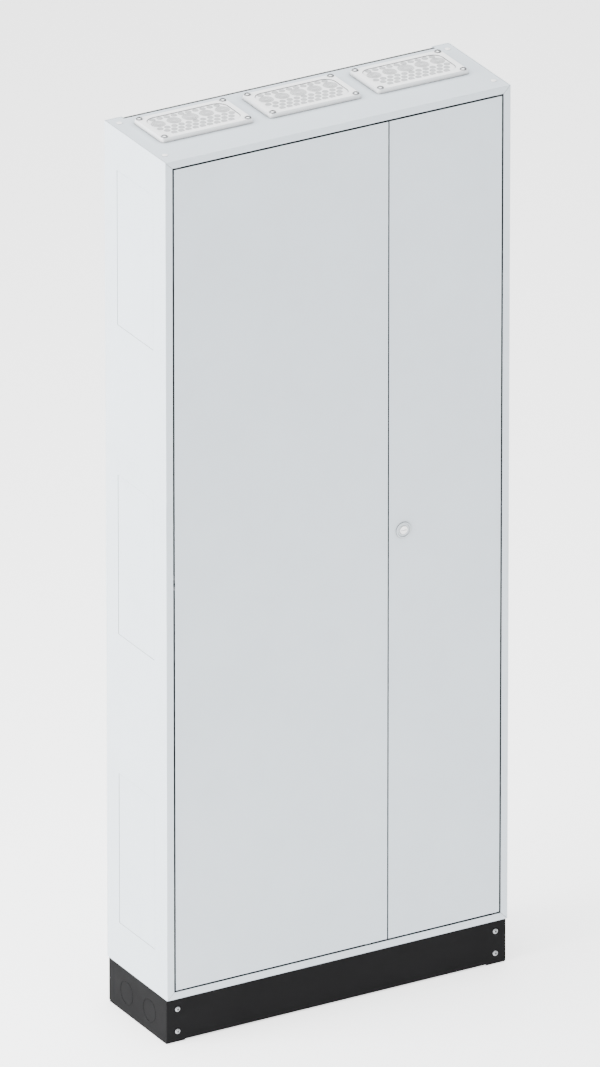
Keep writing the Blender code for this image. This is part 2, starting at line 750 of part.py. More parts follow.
def make_plinth():
    make_plinth_side("plinth_side_left", -1)
    make_plinth_side("plinth_side_right", 1)
    front = make_plinth_panel("plinth_front_panel", -1)
    make_plinth_panel("plinth_rear_panel", 1)
    face = -PLINTH_PANEL_Y
    radius = PLINTH_SCREW_RADIUS + CLEARANCE
    holes = [(radius, (x, face - SHEET, z), (x, face + 2 * SHEET, z)) for _, x, z in plinth_screws()]
    cut_holes(front, *holes)
    for number, x, z in plinth_screws():
        profile = [(0, -PLINTH_SCREW_LENGTH), (PLINTH_SCREW_RADIUS, -PLINTH_SCREW_LENGTH)]
        profile.append((PLINTH_SCREW_RADIUS, CLEARANCE))
        profile += dome(PLINTH_HEAD_RADIUS, CLEARANCE, PLINTH_HEAD_HEIGHT)
        screw = turned(f"plinth_screw_{number}", profile, zinc(), segments=ROUND_SMALL)
        screw.matrix_basis = facing_front(x, face, z)


# Mounting gear


def make_posts():
    for side, x in (("left", LEFT + POST_FROM_SIDE), ("right", RIGHT - POST_FROM_SIDE)):
        low = (x - POST_WIDTH / 2, POST_FRONT, BOTTOM + POST_FROM_END)
        high = (x + POST_WIDTH / 2, BACK_PANEL_FRONT - CLEARANCE, TOP - POST_FROM_END)
        post = block(f"mounting_post_{side}", low, high, zinc())
        inner = POST_WIDTH / 2 - POST_WALL
        hollow_low = (x - inner, POST_FRONT + POST_WALL, low[2] - POST_WALL)
        cut_blocks(post, (hollow_low, (x + inner, high[1] + POST_WALL, high[2] + POST_WALL)))


def make_rails():
    """Top-hat rails across the posts."""
    reach = WIDTH / 2 - POST_FROM_SIDE + RAIL_OVERHANG
    for number in range(RAIL_COUNT):
        height = BOTTOM + RAIL_FIRST + number * RAIL_PITCH
        front = RAIL_REAR - RAIL_DEPTH
        outline = [
            (front + RAIL_SHEET, height + RAIL_HEIGHT / 2),
            (front + RAIL_SHEET, height + RAIL_BASE / 2),
            (RAIL_REAR, height + RAIL_BASE / 2),
            (RAIL_REAR, height - RAIL_BASE / 2),
            (front + RAIL_SHEET, height - RAIL_BASE / 2),
            (front + RAIL_SHEET, height - RAIL_HEIGHT / 2),
        ]
        folded_sheet(
            f"din_rail_{number + 1}", outline, RAIL_SHEET, lambda y, z: (-reach, reach), True, zinc()
        )


def make_bar(name, height, finish):
    """A terminal bar with a foot on each post."""
    post = WIDTH / 2 - POST_FROM_SIDE
    reach = post + RAIL_OVERHANG
    rear = RAIL_REAR - BAR_STANDOFF
    outline = [(-reach, rear - BAR_THICKNESS), (reach, rear - BAR_THICKNESS), (reach, rear)]
    for foot in (post, -post):
        outline += [(foot + BAR_FOOT / 2, rear), (foot + BAR_FOOT / 2, RAIL_REAR)]
        outline += [(foot - BAR_FOOT / 2, RAIL_REAR), (foot - BAR_FOOT / 2, rear)]
    outline.append((-reach, rear))
    low = BOTTOM + height
    extruded(name, outline, low, low + BAR_HEIGHT, Matrix(), finish)


# Doors


def make_door(name, span, hinge_side, pivot_x, empty):
    """A folded pan with a return all round and a notch for the middle hinge."""
    low_x, high_x = span
    door = block(name, (low_x, FRONT, DOOR_LOW), (high_x, DOOR_REAR, DOOR_HIGH), paint())
    cut_blocks(
        door,
        (
            (low_x + SHEET, SKIN_BACK, DOOR_LOW + SHEET),
            (high_x - SHEET, DOOR_REAR - SHEET, DOOR_HIGH - SHEET),
        ),
    )
    cut_blocks(
        door,
        (
            (low_x + DOOR_RETURN, DOOR_REAR - 2 * SHEET, DOOR_LOW + DOOR_RETURN),
            (high_x - DOOR_RETURN, DOOR_REAR + SHEET, DOOR_HIGH - DOOR_RETURN),
        ),
    )
    radius = PIN_RADIUS + CLEARANCE
    cut_holes(
        door,
        (radius, (pivot_x, PIVOT_Y, DOOR_LOW - SHEET), (pivot_x, PIVOT_Y, DOOR_LOW + 2 * SHEET)),
        (radius, (pivot_x, PIVOT_Y, DOOR_HIGH - 2 * SHEET), (pivot_x, PIVOT_Y, DOOR_HIGH + SHEET)),
    )
    edge = pivot_x - hinge_side * (PIVOT_INSET + SHEET)
    inner = pivot_x + hinge_side * (HINGE_ARM / 2 + 2 * CLEARANCE)
    notch_low, notch_high = sorted((edge, inner))
    half = HINGE_ARM_HEIGHT / 2 + HINGE_EAR + 2 * CLEARANCE
    cut_blocks(
        door,
        (
            (notch_low, SKIN_BACK + CLEARANCE / 2, MIDDLE - half),
            (notch_high, DOOR_REAR + SHEET, MIDDLE + half),
        ),
    )
    attach(door, empty)
    return door


def make_seal(name, span, hinge_side, empty):
    """A closed rubber frame between the door's return and the frame's lip."""
    insets = (SEAL_HINGE_INSET, SEAL_INSET) if hinge_side > 0 else (SEAL_INSET, SEAL_HINGE_INSET)
    low = Vector((span[0] + insets[0], DOOR_REAR + CLEARANCE, DOOR_LOW + SEAL_INSET))
    high = Vector((span[1] - insets[1], LIP_Y - CLEARANCE, DOOR_HIGH - SEAL_INSET))
    seal = block(name, low, high, material("seal_rubber", (0.05, 0.05, 0.05), 0.8))
    inner = Vector((SEAL_WIDTH, -SHEET, SEAL_WIDTH))
    cut_blocks(seal, (low + inner, high - inner))
    attach(seal, empty)


def make_hinge_pins(side, pivot_x, empty):
    """Top and bottom pivots: a pin through the door and frame, with a collar in the gap."""
    shaft = DOOR_GAP / 2 + SHEET + PIN_OVERHANG
    collar = DOOR_GAP / 2 - CLEARANCE
    profile = [(0, -shaft), (PIN_RADIUS, -shaft), (PIN_RADIUS, -collar), (COLLAR_RADIUS, -collar)]
    profile += [(COLLAR_RADIUS, collar), (PIN_RADIUS, collar), (PIN_RADIUS, shaft), (0, shaft)]
    for end, height in (("top", DOOR_HIGH + DOOR_GAP / 2), ("bottom", DOOR_LOW - DOOR_GAP / 2)):
        pin = turned(f"hinge_pin_{side}_{end}", profile, black())
        pin.location = (pivot_x, PIVOT_Y, height)
        attach(pin, empty)


def make_mid_hinge(side, hinge_side, pivot_x, empty):
    """Bracket on the frame's lip, leaf on the door and the pin that joins them."""
    arm = HINGE_ARM_HEIGHT / 2
    plate_y = LIP_BACK + CLEARANCE
    plate_x = sorted((pivot_x - hinge_side * HINGE_PLATE_OUT, pivot_x + hinge_side * HINGE_PLATE_IN))
    plate = HINGE_PLATE_HEIGHT / 2
    bracket = block(
        f"mid_hinge_bracket_{side}",
        (plate_x[0], plate_y, MIDDLE - plate),
        (plate_x[1], plate_y + HINGE_PLATE, MIDDLE + plate),
        zinc(),
    )
    half = HINGE_ARM / 2
    add_blocks(
        bracket,
        (
            (pivot_x - half, PIVOT_Y, MIDDLE - arm),
            (pivot_x + half, plate_y + HINGE_PLATE / 2, MIDDLE + arm),
        ),
    )
    bm = bmesh.new()
    knuckle_ends = ((pivot_x, PIVOT_Y, MIDDLE - arm), (pivot_x, PIVOT_Y, MIDDLE + arm))
    add_cylinder(bm, KNUCKLE_RADIUS, *knuckle_ends)
    combine(bracket, bm, "UNION")
    bore = HINGE_PIN_RADIUS + CLEARANCE
    reach = HINGE_HEIGHT / 2
    bore_hole = (bore, (pivot_x, PIVOT_Y, MIDDLE - reach), (pivot_x, PIVOT_Y, MIDDLE + reach))
    cut_holes(bracket, bore_hole)

    near = pivot_x + hinge_side * (KNUCKLE_RADIUS + 2 * CLEARANCE)
    far = near + hinge_side * HINGE_LEAF_LENGTH
    outside = pivot_x - hinge_side * (PIVOT_INSET + CLEARANCE)
    flange = outside - hinge_side * SHEET
    leaf_low = SKIN_BACK + CLEARANCE
    leaf_x = sorted((near, far))
    leaf = block(
        f"mid_hinge_leaf_{side}",
        (leaf_x[0], leaf_low, MIDDLE - reach),
        (leaf_x[1], leaf_low + SHEET, MIDDLE + reach),
        zinc(),
    )
    ear_x = sorted((flange, far))
    flange_x = sorted((flange, outside))
    ear_low = arm + CLEARANCE
    ear_high = ear_low + HINGE_EAR
    rear = PIVOT_Y + KNUCKLE_RADIUS
    for up in (-1, 1):
        ear_z = sorted((MIDDLE + up * ear_low, MIDDLE + up * ear_high))
        add_blocks(leaf, ((ear_x[0], leaf_low, ear_z[0]), (ear_x[1], rear, ear_z[1])))
        flange_z = sorted((MIDDLE + up * ear_low, MIDDLE + up * reach))
        add_blocks(leaf, ((flange_x[0], leaf_low, flange_z[0]), (flange_x[1], rear, flange_z[1])))
    cut_holes(leaf, bore_hole)
    attach(leaf, empty)

    head = ear_high + CLEARANCE
    end = head + HINGE_PIN_RADIUS / 2
    wide = HINGE_PIN_RADIUS + HINGE_PIN_HEAD
    profile = [(0, -end), (wide, -end), (wide, -head), (HINGE_PIN_RADIUS, -head)]
    profile += [(HINGE_PIN_RADIUS, head), (wide, head), (wide, end), (0, end)]
    pin = turned(f"mid_hinge_pin_{side}", profile, zinc(), segments=ROUND_SMALL)
    pin.location = (pivot_x, PIVOT_Y, MIDDLE)
    attach(pin, empty)


# Lock


def involute(angle):
    return math.tan(angle) - angle


def pinion_outline():
    """Involute teeth, with a tooth space centred on local X at both sides."""
    base = PITCH_RADIUS * math.cos(PRESSURE_ANGLE)
    root = PITCH_RADIUS - DEDENDUM
    tip = PITCH_RADIUS + ADDENDUM
    thickness = TOOTH_PITCH / 2 - BACKLASH / 2
    half_at_pitch = thickness / (2 * PITCH_RADIUS) + involute(PRESSURE_ANGLE)
    flank = [(root, half_at_pitch)]
    for step in range(FLANK_STEPS + 1):
        radius = base + (tip - base) * step / FLANK_STEPS
        angle = math.acos(min(1.0, base / radius))
        flank.append((radius, half_at_pitch - involute(angle)))
    outline = []
    for tooth in range(PINION_TEETH):
        middle = (tooth + 0.5) * 2 * math.pi / PINION_TEETH
        sides = [(r, middle - half) for r, half in flank]
        sides += [(r, middle + half) for r, half in reversed(flank)]
        outline += [(r * math.cos(angle), r * math.sin(angle)) for r, angle in sides]
    return outline


def make_lock(empty):
    """Housing through the door skin, turning core, pinion, and the case behind the skin."""
    bore = CORE_RADIUS + CLEARANCE
    barrel_end = -SHEET - CLEARANCE - SHEET - BARREL_PAST_CASE
    profile = [(bore, CLEARANCE + BEZEL_PROUD), (BEZEL_RADIUS - BEZEL_PROUD / 2, CLEARANCE + BEZEL_PROUD)]
    profile += [(BEZEL_RADIUS, CLEARANCE + BEZEL_PROUD / 2), (BEZEL_RADIUS, CLEARANCE)]
    profile += [(BARREL_RADIUS, CLEARANCE), (BARREL_RADIUS, barrel_end), (bore, barrel_end)]
    zamak = material("zinc_die_casting", (0.78, 0.79, 0.80), 0.35, 1.0)
    housing = turned("lock_housing", profile, zamak, closed=True, segments=ROUND_FINE)
    housing.matrix_basis = facing_front(LOCK_X, FRONT, MIDDLE)
    attach(housing, empty)

    core_front = CLEARANCE + BEZEL_PROUD - CORE_SUNK
    core_back = barrel_end - CLEARANCE
    spindle_end = -(SHEET + CLEARANCE + CASE_DEPTH + CLEARANCE)
    profile = [(0, spindle_end), (SPINDLE_RADIUS, spindle_end), (SPINDLE_RADIUS, core_back)]
    profile += [(CORE_RADIUS, core_back), (CORE_RADIUS, core_front), (0, core_front)]
    core = turned("lock_core", profile, zamak, segments=ROUND_FINE)
    core.matrix_basis = facing_front(LOCK_X, FRONT, MIDDLE)
    slot = Vector((KEY_SLOT_LENGTH / 2, KEY_SLOT_DEPTH, KEY_SLOT_WIDTH / 2))
    face = FRONT - core_front
    cut_blocks(
        core,
        (
            (LOCK_X - slot.x, face - slot.y, MIDDLE - slot.z),
            (LOCK_X + slot.x, face + slot.y, MIDDLE + slot.z),
        ),
    )

    gear_front = core_back - CLEARANCE
    pinion = extruded(
        "lock_pinion",
        pinion_outline(),
        gear_front - PINION_FACE,
        gear_front,
        facing_front(LOCK_X, FRONT, MIDDLE),
        zinc(),
    )
    cut_holes(
        pinion,
        (SPINDLE_RADIUS + CLEARANCE, (LOCK_X, FRONT, MIDDLE), (LOCK_X, DOOR_REAR, MIDDLE)),
    )

    case_front = SKIN_BACK + CLEARANCE
    case_back = case_front + CASE_DEPTH
    case = block(
        "lock_case",
        (LOCK_X - CASE_HALF_WIDTH, case_front, MIDDLE - CASE_HALF_HEIGHT),
        (LOCK_X + CASE_HALF_WIDTH, case_back, MIDDLE + CASE_HALF_HEIGHT),
        zinc(),
    )
    cut_blocks(
        case,
        (
            (LOCK_X - CASE_HALF_WIDTH + SHEET, case_front + SHEET, MIDDLE - CASE_HALF_HEIGHT + SHEET),
            (LOCK_X + CASE_HALF_WIDTH - SHEET, case_back - SHEET, MIDDLE + CASE_HALF_HEIGHT - SHEET),
        ),
    )
    slots = []
    for side in (-1, 1):
        near = side * (PITCH_RADIUS - ADDENDUM - CLEARANCE)
        low_x, high_x = sorted((LOCK_X + near, LOCK_X + side * (ROD_FAR + CLEARANCE)))
        for up in (-1, 1):
            wall = sorted(
                (MIDDLE + up * (CASE_HALF_HEIGHT - 2 * SHEET), MIDDLE + up * (CASE_HALF_HEIGHT + SHEET))
            )
            slots.append(
                ((low_x, ROD_Y[0] - CLEARANCE, wall[0]), (high_x, ROD_Y[1] + CLEARANCE, wall[1]))
            )
    cut_blocks(case, *slots)
    cut_holes(
        case,
        (BARREL_RADIUS + CLEARANCE, (LOCK_X, FRONT, MIDDLE), (LOCK_X, case_front + 2 * SHEET, MIDDLE)),
        (
            SPINDLE_RADIUS + CLEARANCE,
            (LOCK_X, case_back - 2 * SHEET, MIDDLE),
            (LOCK_X, case_back + SHEET, MIDDLE),
        ),
    )
    attach(case, empty)
    return core, pinion


def rack_side(side, teeth_below, teeth_above):
    """Tooth points of one rack, from the bottom to the top, in X and Z."""
    half = TOOTH_PITCH / 4 - BACKLASH / 4
    slope = math.tan(PRESSURE_ANGLE)
    points = []
    for tooth in range(-teeth_below, teeth_above + 1):
        middle = MIDDLE + tooth * TOOTH_PITCH
        root_half = half + DEDENDUM * slope
        tip_half = half - ADDENDUM * slope
        root = LOCK_X + side * ROD_NEAR
        tip = LOCK_X + side * (PITCH_RADIUS - ADDENDUM)
        points += [(root, middle - root_half), (tip, middle - tip_half)]
        points += [(tip, middle + tip_half), (root, middle + root_half)]
    return points


def make_rod(name, side, up, empty):
    """A flat rod with rack teeth beside the pinion and its other end in the gap."""
    teeth = (RACK_TEETH_TRAILING, RACK_TEETH_LEADING)
    below, above = teeth if up else reversed(teeth)
    near_end = MIDDLE - up_sign(up) * RACK_END
    far_end = DOOR_HIGH + ROD_PAST_DOOR if up else DOOR_LOW - ROD_PAST_DOOR
    low, high = sorted((near_end, far_end))
    back = LOCK_X + side * ROD_FAR
    root = LOCK_X + side * ROD_NEAR
    outline = [(back, low), (root, low)] + rack_side(side, below, above)
    outline += [(root, high), (back, high)]
    place = facing_front(0, 0, 0)
    rod = extruded(name, outline, -ROD_Y[1], -ROD_Y[0], place, zinc())
    attach(rod, empty)


def up_sign(up):
    return 1 if up else -1


def make_guide(name, middle_x, half_width, height, empty):
    """A keeper on the inside of the door skin, with a slot for a rod or bolt."""
    front = SKIN_BACK + CLEARANCE
    outer = half_width + CLEARANCE + GUIDE_WALL
    guide = block(
        name,
        (middle_x - outer, front, height - GUIDE_HEIGHT / 2),
        (middle_x + outer, front + GUIDE_DEPTH, height + GUIDE_HEIGHT / 2),
        material("guide_plastic", (0.06, 0.06, 0.06), 0.5),
    )
    inner = half_width + CLEARANCE
    cut_blocks(
        guide,
        (
            (middle_x - inner, ROD_Y[0] - CLEARANCE, height - GUIDE_HEIGHT),
            (middle_x + inner, ROD_Y[1] + CLEARANCE, height + GUIDE_HEIGHT),
        ),
    )
    attach(guide, empty)


def make_bolt(name, up, empty):
    """A flat slide bolt with a finger tab, its tip in the gap beside the door's edge."""
    sign = up_sign(up)
    tip = DOOR_HIGH + ROD_PAST_DOOR if up else DOOR_LOW - ROD_PAST_DOOR
    tail = tip - sign * BOLT_LENGTH
    tab_low = tail + sign * BOLT_TAB_FROM_END
    tab_high = tab_low + sign * BOLT_TAB
    front, rear = ROD_Y
    reach = rear + BOLT_TAB_REACH
    outline = [(front, tail), (front, tip), (rear, tip), (rear, tab_high), (reach, tab_high)]
    outline += [(reach, tab_low), (rear, tab_low), (rear, tail)]
    turn = Matrix(((0, 0, 1, 0), (1, 0, 0, 0), (0, 1, 0, 0), (0, 0, 0, 1)))
    half = BOLT_WIDTH / 2
    bolt = extruded(name, outline, BOLT_X - half, BOLT_X + half, turn, zinc())
    attach(bolt, empty)


def cut_rod_slots(door, places):
    """Slots in the door's top and bottom folds. Each place is an X span and whether it is at the top."""
    boxes = []
    for (low_x, high_x), up in places:
        wall = (DOOR_LOW - SHEET, DOOR_LOW + 2 * SHEET)
        if up:
            wall = (DOOR_HIGH - 2 * SHEET, DOOR_HIGH + SHEET)
        boxes.append(
            (
                (low_x - CLEARANCE, ROD_Y[0] - CLEARANCE, wall[0]),
                (high_x + CLEARANCE, ROD_Y[1] + CLEARANCE, wall[1]),
            )
        )
    cut_blocks(door, *boxes)


def make_left_door():
    empty = axis_empty("axis_door_left", (LEFT_PIVOT_X, PIVOT_Y, MIDDLE))
    door = make_door("door_left", LEFT_DOOR_X, 1, LEFT_PIVOT_X, empty)
    bolt_span = (BOLT_X - BOLT_WIDTH / 2, BOLT_X + BOLT_WIDTH / 2)
    cut_rod_slots(door, [(bolt_span, True), (bolt_span, False)])
    make_seal("door_seal_left", LEFT_DOOR_X, 1, empty)
    make_hinge_pins("left", LEFT_PIVOT_X, empty)
    make_mid_hinge("left", 1, LEFT_PIVOT_X, empty)
    for end, up in (("top", True), ("bottom", False)):
        height = DOOR_HIGH if up else DOOR_LOW
        slide = axis_empty(f"axis_bolt_{end}", (BOLT_X, ROD_Y[0], height))
        attach(slide, empty)
        make_bolt(f"slide_bolt_{end}", up, slide)
        guide_height = height - up_sign(up) * BOLT_GUIDE_FROM_TIP
        make_guide(f"bolt_guide_{end}", BOLT_X, BOLT_WIDTH / 2, guide_height, empty)


def make_right_door():
    empty = axis_empty("axis_door_right", (RIGHT_PIVOT_X, PIVOT_Y, MIDDLE))
    door = make_door("door_right", RIGHT_DOOR_X, -1, RIGHT_PIVOT_X, empty)
    upper = (LOCK_X - ROD_FAR, LOCK_X - ROD_NEAR)
    lower = (LOCK_X + ROD_NEAR, LOCK_X + ROD_FAR)
    cut_rod_slots(door, [(upper, True), (lower, False)])
    radius = BARREL_RADIUS + CLEARANCE
    cut_holes(door, (radius, (LOCK_X, FRONT - SHEET, MIDDLE), (LOCK_X, SKIN_BACK + SHEET, MIDDLE)))
    make_seal("door_seal_right", RIGHT_DOOR_X, -1, empty)
    make_hinge_pins("right", RIGHT_PIVOT_X, empty)
    make_mid_hinge("right", -1, RIGHT_PIVOT_X, empty)
    turning = axis_empty("axis_lock", (LOCK_X, FRONT, MIDDLE))
    attach(turning, empty)
    for piece in make_lock(empty):
        attach(piece, turning)
    rods = (("upper", -1, True, DOOR_HIGH, upper), ("lower", 1, False, DOOR_LOW, lower))
    for end, side, up, height, span in rods:
        slide = axis_empty(f"axis_rod_{end}", (sum(span) / 2, ROD_Y[0], height))
        attach(slide, empty)
        make_rod(f"lock_rod_{end}", side, up, slide)
        guide_height = MIDDLE + up_sign(up) * ROD_GUIDE_FROM_LOCK
        make_guide(f"rod_guide_{end}", sum(span) / 2, ROD_WIDTH / 2, guide_height, empty)


def main():
    clear_scene()
    make_sides()
    make_top()
    make_bottom()
    make_back()
    make_mullion()
    for side, x in entry_places().items():
        make_entry_plate(f"entry_plate_{side}", x)
        make_entry_clamp(f"entry_clamp_{side}", x)
    make_plugs()
    make_plinth()
    make_posts()
    make_rails()
    make_bar("earth_bar", EARTH_BAR_HEIGHT, material("copper", (0.75, 0.45, 0.3), 0.3, 1.0))
    make_bar("neutral_bar", NEUTRAL_BAR_HEIGHT, material("brass", (0.8, 0.65, 0.3), 0.3, 1.0))
    make_left_door()
    make_right_door()


main()
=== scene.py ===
"""Looks of a two-door switchboard cabinet on a plinth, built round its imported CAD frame.

Metres, +Z up, the doors face -Y. Each piece keeps its place in its mesh, so every object stands at
the origin, unturned and unscaled.
"""

import json
import logging
import math
from collections.abc import Iterable, Sequence
from dataclasses import dataclass, field
from enum import Enum
from functools import cache

import bmesh
import bpy
from mathutils import Matrix, Vector

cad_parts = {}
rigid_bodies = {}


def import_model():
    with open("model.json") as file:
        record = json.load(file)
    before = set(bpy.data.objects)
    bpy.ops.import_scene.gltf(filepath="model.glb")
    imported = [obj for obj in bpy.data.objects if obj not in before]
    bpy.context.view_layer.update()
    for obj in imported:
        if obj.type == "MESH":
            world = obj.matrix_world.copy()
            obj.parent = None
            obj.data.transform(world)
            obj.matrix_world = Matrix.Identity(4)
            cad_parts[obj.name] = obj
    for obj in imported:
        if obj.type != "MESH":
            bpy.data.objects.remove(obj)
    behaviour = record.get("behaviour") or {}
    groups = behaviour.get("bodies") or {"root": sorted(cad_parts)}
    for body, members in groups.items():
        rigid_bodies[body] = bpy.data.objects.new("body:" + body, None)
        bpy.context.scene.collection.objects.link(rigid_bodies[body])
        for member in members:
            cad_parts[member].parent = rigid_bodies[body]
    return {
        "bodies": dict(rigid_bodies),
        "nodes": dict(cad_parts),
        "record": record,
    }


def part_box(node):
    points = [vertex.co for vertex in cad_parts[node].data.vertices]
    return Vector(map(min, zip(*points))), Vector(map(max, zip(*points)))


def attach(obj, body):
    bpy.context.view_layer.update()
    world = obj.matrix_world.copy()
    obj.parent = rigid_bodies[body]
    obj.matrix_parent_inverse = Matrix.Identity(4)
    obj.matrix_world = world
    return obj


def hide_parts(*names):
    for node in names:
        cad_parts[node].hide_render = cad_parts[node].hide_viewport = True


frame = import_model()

BMesh = bmesh.types.BMesh
Socket = bpy.types.NodeSocket
Pair = tuple[float, float]

MM = 0.001
MERGE = 0.01 * MM
SEAM = 0.001 * MM
FLAT_ANGLE = math.radians(0.5)
QUAD_ANGLE = math.radians(120)
CORNER_ANGLE = math.radians(30)
SHARP_ANGLE = math.radians(20)
ROOM = 2.6
CORNER_STEPS = 10
DOME_STEPS = 8
CLEARANCE = 0.3 * MM
FULL_TURN = 2 * math.pi

RECORD = frame["record"]
SLOT_OF = {part["node"]: part["material_slot"] for part in RECORD["subparts"]}
BODY_OF = {node: body for body, nodes in RECORD["behaviour"]["bodies"].items() for node in nodes}
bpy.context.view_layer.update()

log = logging.getLogger("cabinet")


# Finishes


class Grain(Enum):
    """How the finest relief of a surface is laid."""

    ORANGE_PEEL = "sprayed and baked powder"
    SPANGLE = "zinc crystals"
    CAST = "die-cast skin"
    MOULDED = "spark-eroded mould skin"
    CELLS = "foam cells"
    DRAWN = "lines along X from drawing"


DRAWN_STRETCH = (0.02, 1.0, 1.0)
EVEN_STRETCH = (1.0, 1.0, 1.0)
GRAIN_DETAIL = {Grain.ORANGE_PEEL: 1.5, Grain.CAST: 6.0, Grain.MOULDED: 3.0, Grain.DRAWN: 4.0}
DRIFT_DETAIL = 5.0
DUST_DETAIL = 8.0
DUST_FINENESS = 3
BUCKLE_SCALE = 1.6
NOISE_SPAN = (0.3, 0.7)
FLECK_SPAN = (0.2, 0.8)
FLECK_GAIN = 6
FLECK_SHADE = 0.86
SOIL_SPAN = (0.52, 0.75)
SOIL_GAIN = 5
SOIL_SHADE = 0.8
EDGE_TURN = (0.995, 0.86)
EDGE_PATCHES = (0.35, 0.62)
EDGE_LEAST = 0.3
EDGE_SAMPLES = 4
WEAR_GAIN = 4
WEAR_SHADE = 1.25
WEAR_POLISH = 0.08
# Painted shade in gaps and corners: where the ambient-occlusion mask starts and ends, how many samples
# it takes, and how dark it paints the colour.
PAINTED_SHADE_SPAN = (0.45, 0.95)
PAINTED_SHADE_SAMPLES = 6
PAINTED_SHADE_FACTOR = 0.04


class NodeSet:
    """Shader nodes of one material, added and wired in one call each."""

    def __init__(self, tree: bpy.types.NodeTree) -> None:
        """Keeps the tree that the nodes go into."""
        self.tree = tree

    def add(self, kind: str, inputs: dict | None = None, **settings: object) -> bpy.types.Node:
        """Adds a node.

        Args:
            kind: The node's type name.
            inputs: A value, or a socket to wire in, for each input by name or number.
            settings: Properties of the node itself.

        Returns:
            The new node.
        """
        node = self.tree.nodes.new(kind)
        for key, value in settings.items():
            setattr(node, key, value)
        for key, value in (inputs or {}).items():
            if isinstance(value, Socket):
                self.tree.links.new(value, node.inputs[key])
            else:
                node.inputs[key].default_value = value
        return node

    def link(self, source: Socket, node: bpy.types.Node, name: str) -> None:
        """Wires a socket into a node's named input."""
        self.tree.links.new(source, node.inputs[name])

    def math(self, operation: str, first: object, second: object = 0.0) -> Socket:
        """Result socket of a Math node on two values or sockets."""
        return self.add("ShaderNodeMath", {0: first, 1: second}, operation=operation).outputs[0]

    def noise(self, place: Socket, scale: float, detail: float) -> Socket:
        """Result socket of a Noise Texture."""
        keys = {"Vector": place, "Scale": scale, "Detail": detail}
        return self.add("ShaderNodeTexNoise", keys).outputs["Fac"]

    def bump(self, height: Socket, distance: float, normal: Socket) -> Socket:
        """Result socket of a Bump node."""
        keys = {"Distance": distance, "Height": height, "Normal": normal}
        return self.add("ShaderNodeBump", keys).outputs["Normal"]

    def ranged(self, value: object, source: tuple, target: tuple) -> Socket:
        """Result socket of a clamped Map Range from source to target."""
        keys = {"Value": value, "From Min": source[0], "From Max": source[1]}
        keys |= {"To Min": target[0], "To Max": target[1]}
        return self.add("ShaderNodeMapRange", keys).outputs["Result"]

    def blend(self, factor: object, first: object, second: object) -> Socket:
        """Result socket of a colour Mix."""
        node = self.add("ShaderNodeMix", {0: factor, 6: first, 7: second}, data_type="RGBA")
        return node.outputs[2]


def shade(colour: Sequence[float], factor: float) -> tuple[float, float, float, float]:
    """The colour made lighter or darker, with an alpha of 1."""
    return (*(min(1.0, part * factor) for part in colour), 1.0)


